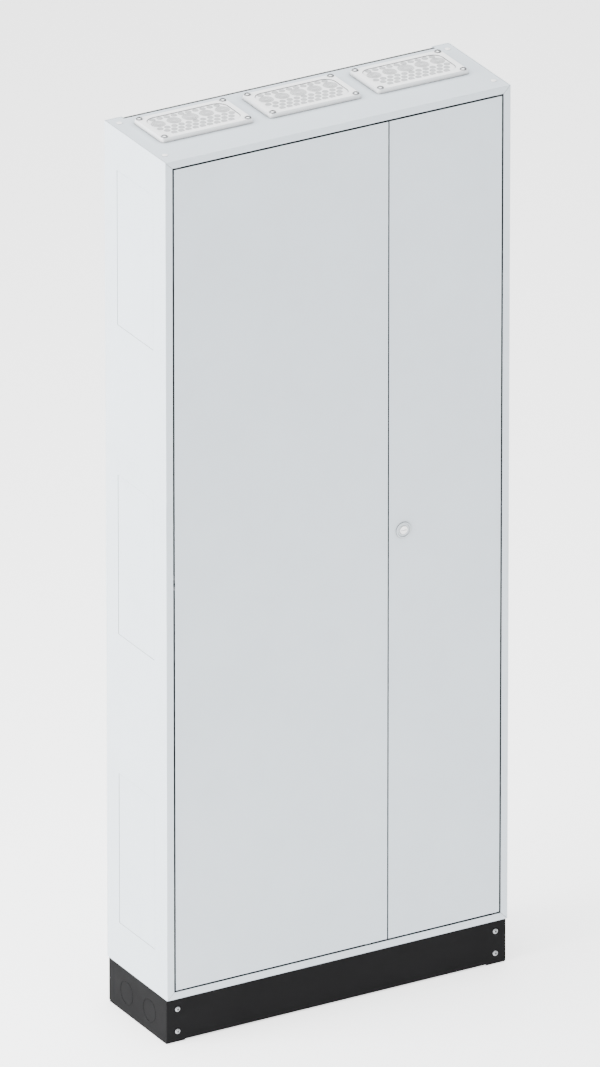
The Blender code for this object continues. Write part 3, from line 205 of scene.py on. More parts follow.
@dataclass(frozen=True)
class Finish:
    """A surface finish, as one procedural material.

    Attributes:
        name: The material's name.
        colour: Linear base colour.
        roughness: Smoothest and roughest value on the surface.
        metallic: 1 for bare metal.
        grain: How the finest relief is laid.
        grain_size: Width of one grain.
        grain_depth: Height of the relief.
        mottle: Share by which the colour drifts across the surface.
        mottle_size: Width of one patch of that drift.
        buckle: Height of the slow waves of thin sheet.
        wear: Share by which rubbed edges are lighter.
        wear_width: Width of the rubbed edge.
        soil: Share by which dust in patches dulls the colour.
        sheen: Level of the clear reflection on a surface that isn't metal.
        painted_shade_reach: Reach of the painted shade that darkens gaps and corners and dims their
            clear reflection, or 0 for none.
        glow: Strength of light that the surface gives off.
    """

    name: str
    colour: tuple[float, float, float]
    roughness: Pair
    metallic: float = 0.0
    grain: Grain = Grain.ORANGE_PEEL
    grain_size: float = 1.2 * MM
    grain_depth: float = 0.02 * MM
    mottle: float = 0.02
    mottle_size: float = 160 * MM
    buckle: float = 0.0
    wear: float = 0.08
    wear_width: float = 0.9 * MM
    soil: float = 0.02
    sheen: float = 0.5
    painted_shade_reach: float = 0.0
    glow: float = 0.0

    def relief(self, nodes: NodeSet, place: Socket) -> Socket:
        """Height of the finest relief.

        Args:
            nodes: Where the nodes go.
            place: Object coordinates.

        Returns:
            A socket from 0 to about 1.
        """
        stretch = DRAWN_STRETCH if self.grain is Grain.DRAWN else EVEN_STRETCH
        scale = tuple(part / self.grain_size for part in stretch)
        spot = nodes.add("ShaderNodeMapping", {"Vector": place, "Scale": scale}).outputs[0]
        if self.grain in (Grain.SPANGLE, Grain.CELLS):
            feature = "F1" if self.grain is Grain.SPANGLE else "SMOOTH_F1"
            cells = nodes.add("ShaderNodeTexVoronoi", {"Vector": spot, "Scale": 1.0}, feature=feature)
            return cells.outputs["Distance"]
        return nodes.noise(spot, 1.0, GRAIN_DETAIL[self.grain])

    def edge_mask(self, nodes: NodeSet, rounded: Socket, patches: object) -> Socket:
        """Where edges are rubbed, from how far the rounded normal turns from the flat one.

        Args:
            nodes: Where the nodes go.
            rounded: The normal with its edges rounded.
            patches: A slow noise that breaks the wear up.

        Returns:
            A socket that is 0 on flats and up to 1 on edges.
        """
        flat = nodes.add("ShaderNodeNewGeometry").outputs["Normal"]
        turn = nodes.add("ShaderNodeVectorMath", {0: rounded, 1: flat}, operation="DOT_PRODUCT")
        edge = nodes.ranged(turn.outputs["Value"], EDGE_TURN, (0.0, 1.0))
        return nodes.math("MULTIPLY", edge, nodes.ranged(patches, EDGE_PATCHES, (EDGE_LEAST, 1.0)))

    def build(self) -> bpy.types.Material:
        """Makes the material.

        Returns:
            A Principled material whose colour, roughness and relief come from nodes.
        """
        made = bpy.data.materials.new(self.name)
        made.use_nodes = True
        nodes = NodeSet(made.node_tree)
        shader = made.node_tree.nodes["Principled BSDF"]
        shader.inputs["Metallic"].default_value = self.metallic
        shader.inputs["Specular IOR Level"].default_value = self.sheen
        if self.glow:
            shader.inputs["Emission Color"].default_value = shade(self.colour, 1.0)
            shader.inputs["Emission Strength"].default_value = self.glow
        place = nodes.add("ShaderNodeTexCoord").outputs["Object"]
        grain = self.relief(nodes, place)
        drift = nodes.noise(place, 1 / self.mottle_size, DRIFT_DETAIL)
        dust = nodes.noise(place, DUST_FINENESS / self.mottle_size, DUST_DETAIL)

        spread = nodes.ranged(drift, NOISE_SPAN, (0.0, 1.0))
        darkest, lightest = (shade(self.colour, 1 + sign * self.mottle) for sign in (-1, 1))
        colour = nodes.blend(spread, darkest, lightest)
        fleck = nodes.ranged(grain, FLECK_SPAN, (0.0, self.mottle * FLECK_GAIN))
        colour = nodes.blend(fleck, colour, shade(self.colour, FLECK_SHADE))
        soiled = nodes.ranged(dust, SOIL_SPAN, (0.0, self.soil * SOIL_GAIN))
        colour = nodes.blend(soiled, colour, shade(self.colour, SOIL_SHADE))

        reach = {"Radius": self.wear_width}
        bevel = nodes.add("ShaderNodeBevel", reach, samples=EDGE_SAMPLES).outputs["Normal"]
        worn = self.edge_mask(nodes, bevel, dust)
        lighter = nodes.math("MULTIPLY", worn, self.wear * WEAR_GAIN)
        colour = nodes.blend(lighter, colour, shade(self.colour, WEAR_SHADE))
        # Painted shade: an ambient-occlusion mask darkens the colour in gaps, corners and recesses,
        # where shade falls.
        if self.painted_shade_reach:
            reach = {"Distance": self.painted_shade_reach}
            sky = nodes.add("ShaderNodeAmbientOcclusion", reach, samples=PAINTED_SHADE_SAMPLES).outputs["AO"]
            painted_shade = nodes.ranged(sky, PAINTED_SHADE_SPAN, (1.0, 0.0))
            colour = nodes.blend(painted_shade, colour, shade(self.colour, PAINTED_SHADE_FACTOR))
            # Painted shade also dims the clear reflection in those gaps.
            clear = nodes.math("MULTIPLY", nodes.math("SUBTRACT", 1.0, painted_shade), self.sheen)
            nodes.link(clear, shader, "Specular IOR Level")
        nodes.link(colour, shader, "Base Color")

        halves = (nodes.math("MULTIPLY", noise, 0.5) for noise in (grain, dust))
        rough = nodes.ranged(nodes.math("ADD", *halves), NOISE_SPAN, self.roughness)
        rough = nodes.math("SUBTRACT", rough, nodes.math("MULTIPLY", worn, WEAR_POLISH))
        nodes.link(rough, shader, "Roughness")

        normal = bevel
        if self.buckle:
            normal = nodes.bump(nodes.noise(place, BUCKLE_SCALE, 0.0), self.buckle, normal)
        nodes.link(nodes.bump(grain, self.grain_depth, normal), shader, "Normal")
        return made


SCREW_ZINC = "screw_zinc"
CORE_ZINC = "core_zinc"
MEMBRANE = "membrane"
THIN_MEMBRANE = "thin_membrane"
DULL_ZINC = "dull_zinc"
BEZEL = "bezel"
FLOOR = "floor"
LIGHT_GREY = (0.55, 0.61, 0.66)
SATIN = (0.38, 0.52)
SOFT = (0.5, 0.66)
PAINT = {"buckle": 1.2 * MM, "painted_shade_reach": 16 * MM}
SOFT_MOULDING = {"grain": Grain.MOULDED, "grain_size": 0.4 * MM, "mottle": 0.03}
HARD_MOULDING = {"grain": Grain.MOULDED, "grain_size": 0.5 * MM}
CASTING = {"grain": Grain.CAST, "grain_size": 0.7 * MM, "mottle_size": 9 * MM}
DARK_ZINC = {"grain": Grain.CAST, "grain_size": 0.5 * MM, "mottle": 0.06, "mottle_size": 8 * MM}
BARE_BAR = {"metallic": 1.0, "grain": Grain.DRAWN, "grain_size": 0.6 * MM, "mottle": 0.08}
FINE = 0.01 * MM
# Where a finish sets a reach for it, painted shade darkens its gaps and corners: both paints, the zinc
# parts, the bezel, the lock core, the entry plate and the membranes.
FINISHES = {
    "body_paint": Finish("body_powder_coat", LIGHT_GREY, SATIN, **PAINT),
    "door_paint": Finish("door_powder_coat", LIGHT_GREY, SATIN, **PAINT),
    "plinth_paint": Finish(
        "plinth_powder_coat", (0.009, 0.009, 0.0094), (0.6, 0.75),
        mottle=0.06, wear=0.5, soil=0.05, sheen=0.03,
    ),
    "zinc_steel": Finish(
        "zinc_plate", (0.62, 0.64, 0.66), (0.22, 0.42), metallic=1.0, grain=Grain.SPANGLE,
        grain_size=2.2 * MM, grain_depth=FINE, mottle=0.05, mottle_size=40 * MM, painted_shade_reach=4 * MM,
    ),
    "lock_zinc": Finish(
        "satin_die_casting", (0.88, 0.88, 0.89), (0.22, 0.4), metallic=0.6, mottle=0.04, **CASTING
    ),
    CORE_ZINC: Finish(
        "core_zinc", (0.95, 0.95, 0.96), (0.2, 0.36),
        metallic=0.2, mottle=0.03, painted_shade_reach=1 * MM, **CASTING,
    ),
    BEZEL: Finish(
        "bezel_coat", (0.55, 0.60, 0.64), (0.3, 0.45),
        grain=Grain.CAST, grain_size=0.6 * MM, mottle_size=9 * MM, painted_shade_reach=4 * MM,
    ),
    SCREW_ZINC: Finish(
        "screw_zinc", (0.34, 0.35, 0.36), (0.22, 0.42),
        metallic=1.0, grain_depth=FINE, painted_shade_reach=6 * MM, **DARK_ZINC,
    ),
    DULL_ZINC: Finish(
        "dull_zinc", (0.34, 0.35, 0.36), (0.3, 0.5),
        metallic=0.9, grain_depth=FINE, painted_shade_reach=3 * MM, **DARK_ZINC,
    ),
    "black_metal": Finish(
        "blackened_steel", (0.02, 0.02, 0.021), (0.3, 0.5),
        metallic=0.6, grain=Grain.CAST, grain_size=0.8 * MM, mottle=0.1, mottle_size=12 * MM,
    ),
    "entry_plastic": Finish(
        "entry_plate_moulding", (0.86, 0.87, 0.88), SATIN, painted_shade_reach=8 * MM, **HARD_MOULDING
    ),
    MEMBRANE: Finish("soft_membrane", (0.54, 0.55, 0.56), SOFT, painted_shade_reach=1.6 * MM, **SOFT_MOULDING),
    THIN_MEMBRANE: Finish("thin_membrane", (0.40, 0.41, 0.42), SOFT, painted_shade_reach=1.2 * MM, **SOFT_MOULDING),
    "plug_plastic": Finish(
        "plug_moulding", (0.88, 0.88, 0.88), (0.25, 0.4), grain=Grain.MOULDED, grain_size=0.4 * MM
    ),
    "guide_plastic": Finish(
        "guide_moulding", (0.025, 0.025, 0.026), (0.42, 0.6), mottle=0.08, **HARD_MOULDING
    ),
    "seal_rubber": Finish(
        "foam_seal", (0.03, 0.03, 0.031), (0.82, 0.96),
        grain=Grain.CELLS, grain_size=0.9 * MM, grain_depth=0.25 * MM, mottle=0.12, mottle_size=30 * MM,
    ),
    "copper_bar": Finish(
        "copper_bar", (0.72, 0.36, 0.22), (0.2, 0.4), grain_depth=FINE, mottle_size=30 * MM, **BARE_BAR
    ),
    "brass_bar": Finish(
        "brass_bar", (0.75, 0.58, 0.28), (0.2, 0.4), grain_depth=FINE, mottle_size=30 * MM, **BARE_BAR
    ),
    FLOOR: Finish(
        "floor_paper", (0.93, 0.93, 0.93), (0.7, 0.85),
        mottle=0.004, mottle_size=2.0, wear=0.0, soil=0.0, glow=2.0,
    ),
}


@cache
def material(key: str) -> bpy.types.Material:
    """The material of a finish by its key in FINISHES, made when first asked for."""
    return FINISHES[key].build()


# Mesh tools


def merged_copy(node: str) -> BMesh:
    """A closed copy of a CAD node's mesh, in four-sided faces where they are flat.

    Args:
        node: The CAD node.

    Returns:
        A new bmesh in world coordinates.
    """
    bm = bmesh.new()
    bm.from_mesh(frame["nodes"][node].data)
    bmesh.ops.remove_doubles(bm, verts=bm.verts, dist=MERGE)
    bmesh.ops.recalc_face_normals(bm, faces=bm.faces)
    bmesh.ops.join_triangles(
        bm, faces=bm.faces, angle_face_threshold=FLAT_ANGLE, angle_shape_threshold=QUAD_ANGLE
    )
    return bm


def round_off(
    bm: BMesh, geom: list, width: float, segments: int, affect: str = "EDGES", clamp: bool = False
) -> None:
    """Rounds some edges or corners of a mesh.

    Args:
        bm: The mesh, changed in place.
        geom: The edges or corners.
        width: Width of the rounding.
        segments: Faces across it.
        affect: EDGES or VERTICES.
        clamp: Whether roundings stop where they would meet.
    """
    bmesh.ops.bevel(
        bm,
        geom=geom,
        offset=width,
        offset_type="OFFSET",
        segments=segments,
        profile=0.5,
        affect=affect,
        clamp_overlap=clamp,
        material=-1,
    )


def round_edges(bm: BMesh, width: float, segments: int = 2, corner: float = CORNER_ANGLE) -> None:
    """Rounds the edges that turn by more than an angle, where there is room for it.

    Args:
        bm: The mesh, changed in place.
        width: Width of the rounding.
        segments: Faces across it.
        corner: The angle.
    """
    tight = {end for edge in bm.edges if edge.calc_length() < width * ROOM for end in edge.verts}
    sharp = [
        edge
        for edge in bm.edges
        if edge.is_manifold and edge.calc_face_angle() > corner and not tight.intersection(edge.verts)
    ]
    round_off(bm, sharp, width, segments, clamp=True)


def turned(profile: Sequence[Pair], steps: int, closed: bool = False) -> BMesh:
    """A profile spun about Z.

    Args:
        profile: Points of radius and height.
        steps: Faces round the turn.
        closed: Whether the last point joins the first, as on a ring.

    Returns:
        A new closed bmesh.
    """
    bm = bmesh.new()
    points = [bm.verts.new((radius, 0.0, height)) for radius, height in profile]
    edges = [bm.edges.new(pair) for pair in zip(points, points[1:])]
    if closed:
        edges.append(bm.edges.new((points[-1], points[0])))
    ring = points + edges
    bmesh.ops.spin(
        bm, geom=ring, cent=(0, 0, 0), axis=(0, 0, 1), angle=FULL_TURN, steps=steps, use_merge=True
    )
    bmesh.ops.remove_doubles(bm, verts=bm.verts, dist=SEAM)
    bmesh.ops.recalc_face_normals(bm, faces=bm.faces)
    return bm


def arc(centre: Pair, size: Pair, steps: int, start: float = 0.0, end: float = 90.0) -> list[Pair]:
    """Points along part of an ellipse.

    Args:
        centre: Its middle, as radius and height.
        size: Half its width and half its height.
        steps: Spaces between the points.
        start: First angle in degrees.
        end: Last angle in degrees.

    Returns:
        Points of radius and height.
    """
    points = []
    for step in range(steps + 1):
        angle = math.radians(start + (end - start) * step / steps)
        points.append((centre[0] + size[0] * math.cos(angle), centre[1] + size[1] * math.sin(angle)))
    return points


def rounded_slab(
    size: Sequence[float], corner: float, place: Sequence[float], height: float, draft: float = 0.0
) -> BMesh:
    """Models a flat block with round corners.

    Args:
        size: Length along X and Y.
        corner: Radius of the corners.
        place: Middle of the underside.
        height: Thickness.
        draft: How much nearer the middle the top's edges are.

    Returns:
        A new closed bmesh.
    """
    bm = bmesh.new()
    halves = Matrix.Diagonal((size[0] / 2, size[1] / 2, 1.0, 1.0))
    bmesh.ops.create_grid(bm, x_segments=1, y_segments=1, size=1.0, matrix=halves)
    round_off(bm, list(bm.verts), corner, CORNER_STEPS, affect="VERTICES")
    raised = bmesh.ops.extrude_face_region(bm, geom=list(bm.faces))["geom"]
    top = [item for item in raised if isinstance(item, bmesh.types.BMVert)]
    taper = Vector((1 - 2 * draft / size[0], 1 - 2 * draft / size[1], 1.0))
    bmesh.ops.scale(bm, verts=top, vec=taper)
    bmesh.ops.translate(bm, verts=top, vec=(0, 0, height))
    bmesh.ops.recalc_face_normals(bm, faces=bm.faces)
    return moved(bm, Matrix.Translation(place))


def add_slab(bm: BMesh, low: Sequence[float], high: Sequence[float]) -> None:
    """Adds a cutter's box between two corners."""
    size = Vector(high) - Vector(low)
    place = Matrix.Translation((Vector(high) + Vector(low)) / 2) @ Matrix.Diagonal((*size, 1.0))
    bmesh.ops.create_cube(bm, size=1.0, matrix=place)


def moved(bm: BMesh, place: Matrix) -> BMesh:
    """The bmesh itself, with its points moved by a matrix."""
    bmesh.ops.transform(bm, matrix=place, verts=bm.verts)
    return bm


def add_copies(bm: BMesh, shape: BMesh, places: Iterable[Matrix]) -> None:
    """Adds a copy of a shape at each place.

    Args:
        bm: The mesh that grows.
        shape: What is copied, freed here.
        places: One matrix for each copy.
    """
    mesh = bpy.data.meshes.new("copy")
    for place in places:
        copy = shape.copy()
        bmesh.ops.transform(copy, matrix=place, verts=copy.verts)
        copy.to_mesh(mesh)
        bm.from_mesh(mesh)
        copy.free()
    bpy.data.meshes.remove(mesh)
    shape.free()


def mesh_of(name: str, bm: BMesh) -> bpy.types.Mesh:
    """A mesh with the shape of a bmesh, which is freed."""
    mesh = bpy.data.meshes.new(name)
    bm.to_mesh(mesh)
    bm.free()
    return mesh


def linked(name: str, data: bpy.types.ID) -> bpy.types.Object:
    """A new object in the scene with some data."""
    made = bpy.data.objects.new(name, data)
    bpy.context.scene.collection.objects.link(made)
    return made


def carved(bm: BMesh, cutter: BMesh) -> BMesh:
    """Takes one closed shape away from another.

    Args:
        bm: What is cut, freed here.
        cutter: What is taken away, freed here.

    Returns:
        A new bmesh of what is left.
    """
    target = linked("target", mesh_of("target", bm))
    tool = linked("tool", mesh_of("tool", cutter))
    cut = target.modifiers.new("cut", "BOOLEAN")
    cut.operation = "DIFFERENCE"
    cut.solver = "EXACT"
    cut.object = tool
    graph = bpy.context.evaluated_depsgraph_get()
    result = bmesh.new()
    result.from_mesh(target.evaluated_get(graph).to_mesh())
    for item in (target, tool):
        mesh = item.data
        bpy.data.objects.remove(item)
        bpy.data.meshes.remove(mesh)
    return result


def extent(node: str) -> tuple[Vector, Vector, Vector]:
    """Lowest and highest corner of a CAD node, and its middle."""
    low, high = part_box(node)
    return low, high, (low + high) / 2


def outer_x(node: str) -> float:
    """X of a CAD node's face that is farther from the cabinet's middle."""
    low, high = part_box(node)
    return max(low.x, high.x, key=abs)


def facing_front(place: Sequence[float]) -> Matrix:
    """A place whose local Z points to the front."""
    return Matrix.Translation(place) @ Matrix.Rotation(math.pi / 2, 4, "X")


@dataclass(frozen=True)
class DomedScrew:
    """A domed screw with a six-lobed recess, its head's seat at local height 0.

    Attributes:
        head_radius: Radius of the head.
        head_height: Height of the dome.
        recess_radius: Radius of the recess.
        recess_share: Depth of the recess, as a share of the head's height.
        shank_radius: Radius of the shank, or 0 for a head alone.
        shank_length: Length of the shank.
        seat_share: Radius of the head at its seat, as a share.
        rim_angle: Where the dome starts above its seat, in degrees.
        wall_shares: Radius of the recess below its chamfer and at its floor, as shares.
        chamfer: Depth of the recess's chamfer.
        point: How far the middle of its floor dips.
        lobes: How many lobes it has.
        lobe_share: How far they reach, as a share.
    """

    head_radius: float
    head_height: float
    recess_radius: float = 2.5 * MM
    recess_share: float = 0.75
    shank_radius: float = 0.0
    shank_length: float = 0.0
    seat_share: float = 0.97
    rim_angle: float = 6.0
    wall_shares: Pair = (0.93, 0.85)
    chamfer: float = 0.15 * MM
    point: float = 0.2 * MM
    lobes: int = 6
    lobe_share: float = 0.13

    def mesh(self, steps: int = 36) -> BMesh:
        """Models the screw.

        Args:
            steps: Faces round the head.

        Returns:
            A new closed bmesh.
        """
        mouth = math.degrees(math.acos(self.recess_radius / self.head_radius))
        profile = [(0.0, 0.0)]
        if self.shank_radius:
            end = -self.shank_length
            profile = [(0.0, end), (self.shank_radius, end), (self.shank_radius, 0.0)]
        profile.append((self.head_radius * self.seat_share, 0.0))
        size = (self.head_radius, self.head_height)
        profile += arc((0.0, 0.0), size, DOME_STEPS, self.rim_angle, mouth)
        brim = profile[-1][1]
        floor = brim - self.recess_share * self.head_height
        upper, lower = (share * self.recess_radius for share in self.wall_shares)
        profile += [(upper, brim - self.chamfer), (lower, floor), (0.0, floor - self.point)]
        bm = turned(profile, steps)
        for vert in bm.verts:
            reach = math.hypot(vert.co.x, vert.co.y)
            in_recess = vert.co.z > floor - self.point / 2 and reach < self.recess_radius + MERGE
            if in_recess and reach > MERGE:
                angle = math.atan2(vert.co.y, vert.co.x)
                vert.co.xy *= 1 + self.lobe_share * math.cos(self.lobes * angle)
        return bm


@dataclass
class SubAssembly:
    """Pieces that belong together.

    Attributes:
        edge: Rounding of sheet edges.
        made: The finished pieces.
    """

    edge: float = 0.5 * MM
    made: list[bpy.types.Object] = field(default_factory=list)

    def place(
        self, name: str, bm: BMesh, slot: str, body: str, nodes: Sequence[str] = (), finish: str = ""
    ) -> bpy.types.Object:
        """Turns a bmesh into a finished piece.

        Args:
            name: The piece's name.
            bm: Its shape, freed here.
            slot: The record's material slot.
            body: The CAD body that it rides on.
            nodes: CAD nodes that it stands for.
            finish: Key of another finish than the slot's own.

        Returns:
            The piece.
        """
        for face in bm.faces:
            face.smooth = True
        for edge in bm.edges:
            edge.smooth = edge.is_manifold and edge.calc_face_angle() < SHARP_ANGLE
        mesh = mesh_of(name, bm)
        mesh.materials.clear()
        mesh.materials.append(material(finish or slot))
        piece = linked(name, mesh)
        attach(piece, body)
        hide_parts(*nodes)
        self.made.append(piece)
        return piece

    def stand_in(self, node: str, bm: BMesh, finish: str = "") -> bpy.types.Object:
        """Places a finer shape for one CAD node, on its own body and in its own slot."""
        return self.place(f"{node}_finished", bm, SLOT_OF[node], BODY_OF[node], [node], finish)

    def refine(self, *nodes: str, edge: float = 0.0) -> None:
        """Gives CAD nodes rounded edges.

        Args:
            nodes: The CAD nodes.
            edge: Rounding, where it isn't the sub-assembly's own.
        """
        for node in nodes:
            bm = merged_copy(node)
            round_edges(bm, edge or self.edge)
            self.stand_in(node, bm)

    def build(self) -> None:
        """Builds every piece of the sub-assembly."""
        raise NotImplementedError


# Sub-assemblies


@dataclass
class CabinetBody(SubAssembly):
    """Side, top, bottom and back panels and the centre mullion.

    Attributes:
        groove_depth: Depth of the knock-out outlines.
        knock_outs: Lowest and highest edge of each outline above the body's foot.
        knock_out_y: Front and rear edge of each outline.
        rear_line: Width of the rear line.
        bottom_line: Width of the bottom line.
        fine_line: Width of the other two.
        bead: Depth and height of the sealing bead behind the top's rear edge.
        bead_round: Radius of its corners, as a share of its depth.
        bead_inset: Space between its ends and the body's sides.
    """

    groove_depth: float = 0.9 * MM
    knock_outs: tuple[Pair, ...] = (
        (96 * MM, 432 * MM),
        (744 * MM, 1098 * MM),
        (1430 * MM, 1770 * MM),
    )
    knock_out_y: Pair = (-74 * MM, 74 * MM)
    rear_line: float = 1.6 * MM
    bottom_line: float = 0.9 * MM
    fine_line: float = 0.2 * MM
    bead: Pair = (6 * MM, 6 * MM)
    bead_round: float = 0.45
    bead_inset: float = 39 * MM

    def grooves(self, foot: float) -> list[tuple[Pair, Pair]]:
        """The lines of one side's outlines.

        Args:
            foot: Height of the body's lower edge.

        Returns:
            Lowest and highest Y and Z of each line.
        """
        near, far = self.knock_out_y
        lines = []
        for low, high in ((foot + a, foot + b) for a, b in self.knock_outs):
            lines.append(((far - self.rear_line, low), (far, high)))
            lines.append(((near, low), (far, low + self.bottom_line)))
            lines.append(((near, high - self.fine_line), (far, high)))
            lines.append(((near, low), (near + self.fine_line, high)))
        return lines

    def side_panel(self, node: str) -> None:
        """Cuts the outlines into one side panel.

        Args:
            node: The CAD side panel.
        """
        outer = outer_x(node)
        inner = outer - math.copysign(self.groove_depth, outer)
        past = outer + math.copysign(self.groove_depth, outer)
        bm = merged_copy(node)
        x_low, x_high = sorted((inner, past))
        for start, end in self.grooves(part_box(node)[0].z):
            cutter = bmesh.new()
            add_slab(cutter, (x_low, *start), (x_high, *end))
            bm = carved(bm, cutter)
        round_edges(bm, self.edge)
        self.stand_in(node, bm)

    def rear_bead(self) -> None:
        """Models the dark sealing bead along the top of the back panel."""
        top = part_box("top_panel")[1]
        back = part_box("back_panel")[1]
        depth, height = self.bead
        place = (0.0, back.y + depth / 2, top.z - height)
        size = (2 * (top.x - self.bead_inset), depth)
        bm = rounded_slab(size, depth * self.bead_round, place, height)
        self.place("rear_sealing_bead", bm, "seal_rubber", "root")

    def build(self) -> None:
        """Builds the shell."""
        self.rear_bead()
        for side in ("left", "right"):
            self.side_panel(f"side_panel_{side}")
        self.refine("top_panel", "bottom_panel", "back_panel", "centre_mullion")


@dataclass
class Doors(SubAssembly):
    """Both door leaves with their seals.

    Attributes:
        edge: Rounding of the folded edges.
        seal_edge: Rounding of the foam.
    """

    edge: float = 0.45 * MM
    seal_edge: float = 1.6 * MM

    def build(self) -> None:
        """Builds the doors."""
        self.refine("door_left", "door_right")
        self.refine("door_seal_left", "door_seal_right", edge=self.seal_edge)


@dataclass
class Hinges(SubAssembly):
    """Corner pins with collars, and the middle hinges."""

    edge: float = 0.4 * MM

    def build(self) -> None:
        """Builds the hinges."""
        for side in ("left", "right"):
            self.refine(f"hinge_pin_{side}_top", f"hinge_pin_{side}_bottom")
            self.refine(f"mid_hinge_bracket_{side}", f"mid_hinge_leaf_{side}", f"mid_hinge_pin_{side}")


@dataclass
class LockWork(SubAssembly):
    """Lock, rods, slide bolts and their guides.

    Attributes:
        fine_edge: Rounding of the small pieces inside.
        steps: Faces round the bezel and round the core.
        lip_steps: Faces across the rounding of each rim.
        lip: Rounding of the bezel's rim.
        flange: Width and thickness of its flange.
        rim: How far inside its edge the dip of its face starts and ends.
        bezel_dish: How far its face dips.
        chamfer: Chamfer of the bore and of the stem's end.
        stem_radius: Radius of the core's stem.
        head_depth: Length of the core's head.
        core_lip: Rounding of the head's rim.
        core_rim: How far inside its edge the dip of its face starts and ends.
        core_dish: How far the core's face dips.
        slot_length: Length of the key slot.
        slot_width: Width of the key slot.
        slot_depth: Depth of the key slot.
    """

    edge: float = 0.3 * MM
    fine_edge: float = 0.15 * MM
    steps: tuple[int, int] = (72, 64)
    lip_steps: tuple[int, int] = (6, 4)
    lip: float = 1.0 * MM
    flange: Pair = (6 * MM, 2 * MM)
    rim: Pair = (2 * MM, 2.5 * MM)
    bezel_dish: float = 1.5 * MM
    chamfer: float = 0.3 * MM
    stem_radius: float = 3.5 * MM
    head_depth: float = 5 * MM
    core_lip: float = 0.5 * MM
    core_rim: Pair = (1.6 * MM, 2.0 * MM)
    core_dish: float = 0.35 * MM
    slot_length: float = 12 * MM
    slot_width: float = 2.2 * MM
    slot_depth: float = 1.2 * MM

    def bezel(self) -> None:
        """Models the lock's housing with a rounded, dished face."""
        low, high, middle = extent("lock_housing")
        core_low, core_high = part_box("lock_core")
        radius = (high.x - low.x) / 2
        bore = (core_high.x - core_low.x) / 2 + CLEARANCE
        barrel = radius - self.flange[0]
        skin = -(low.y + self.flange[1])
        front = -low.y
        dip = front - self.bezel_dish
        profile = [(bore, -high.y), (barrel, -high.y), (barrel, skin), (radius, skin)]
        profile += arc((radius - self.lip, front - self.lip), (self.lip, self.lip), self.lip_steps[0])
        profile += [(radius - self.rim[0], front), (radius - self.rim[1], dip)]
        profile += [(bore + self.chamfer, dip), (bore, dip - self.chamfer)]
        bm = turned(profile, self.steps[0], closed=True)
        self.stand_in("lock_housing", moved(bm, facing_front((middle.x, 0.0, middle.z))), BEZEL)

    def core(self) -> None:
        """Models the turning core with its key slot."""
        low, high, middle = extent("lock_core")
        radius = (high.x - low.x) / 2
        front = -low.y
        head = front - self.head_depth
        stem, lip, cut = self.stem_radius, self.core_lip, self.chamfer
        profile = [(0.0, -high.y), (stem - cut, -high.y), (stem, -high.y + cut)]
        profile += [(stem, head), (radius, head)]
        profile += arc((radius - lip, front - lip), (lip, lip), self.lip_steps[1])
        dip = front - self.core_dish
        profile += [(radius - self.core_rim[0], front), (radius - self.core_rim[1], dip), (0.0, dip)]
        place = facing_front((middle.x, 0.0, middle.z))
        slot = bmesh.new()
        half = Vector((self.slot_length / 2, self.slot_width / 2))
        add_slab(slot, (-half.x, -half.y, front - self.slot_depth), (half.x, half.y, front + MM))
        bm = carved(turned(profile, self.steps[1]), slot)
        self.stand_in("lock_core", moved(bm, place), CORE_ZINC)

    def build(self) -> None:
        """Builds the lock and all that it moves."""
        self.bezel()
        self.core()
        self.refine("lock_case", "lock_pinion", "lock_rod_upper", "lock_rod_lower", edge=self.fine_edge)
        self.refine("rod_guide_upper", "rod_guide_lower", "bolt_guide_top", "bolt_guide_bottom")
        self.refine("slide_bolt_top", "slide_bolt_bottom")


@dataclass(frozen=True)
class Membrane:
    """One stepped round cable membrane, its foot a little below height 0.

    Attributes:
        radius: Outer radius.
        rings: How many raised rings it has.
        crest: Height of the rings.
        steps: Faces round it.
        sink: How far its foot lies below height 0.
        valley: Height between the rings.
        wall: Width of a ring's top, with its chamfer.
        slope: Width of a ring's inner slope.
        chamfer: Chamfer of a ring's outer edge.
        hub: Width of the middle, as a share of a ring's.
        knob: Radius and height above the valley of the points of the middle.
    """

    radius: float
    rings: int
    crest: float
    steps: int
    sink: float = 0.2 * MM
    valley: float = 0.2 * MM
    wall: float = 1.1 * MM
    slope: float = 0.3 * MM
    chamfer: float = 0.2 * MM
    hub: float = 0.4
    knob: tuple[Pair, ...] = ((0.9 * MM, 0.0), (0.6 * MM, 0.3 * MM), (0.0, 0.35 * MM))

    def mesh(self) -> BMesh:
        """Models the membrane.

        Returns:
            A new closed bmesh.
        """
        pitch = self.radius / (self.rings + self.hub)
        profile = [(0.0, -self.sink), (self.radius, -self.sink)]
        for ring in range(self.rings):
            outer = self.radius - ring * pitch
            inner = outer - self.wall
            profile += [(outer, self.crest - self.chamfer), (outer - self.chamfer, self.crest)]
            profile += [(inner, self.crest), (inner - self.slope, self.valley)]
            if ring + 1 < self.rings:
                profile.append((outer - pitch, self.valley))
        profile += [(radius, self.valley + height) for radius, height in self.knob]
        return turned(profile, self.steps)


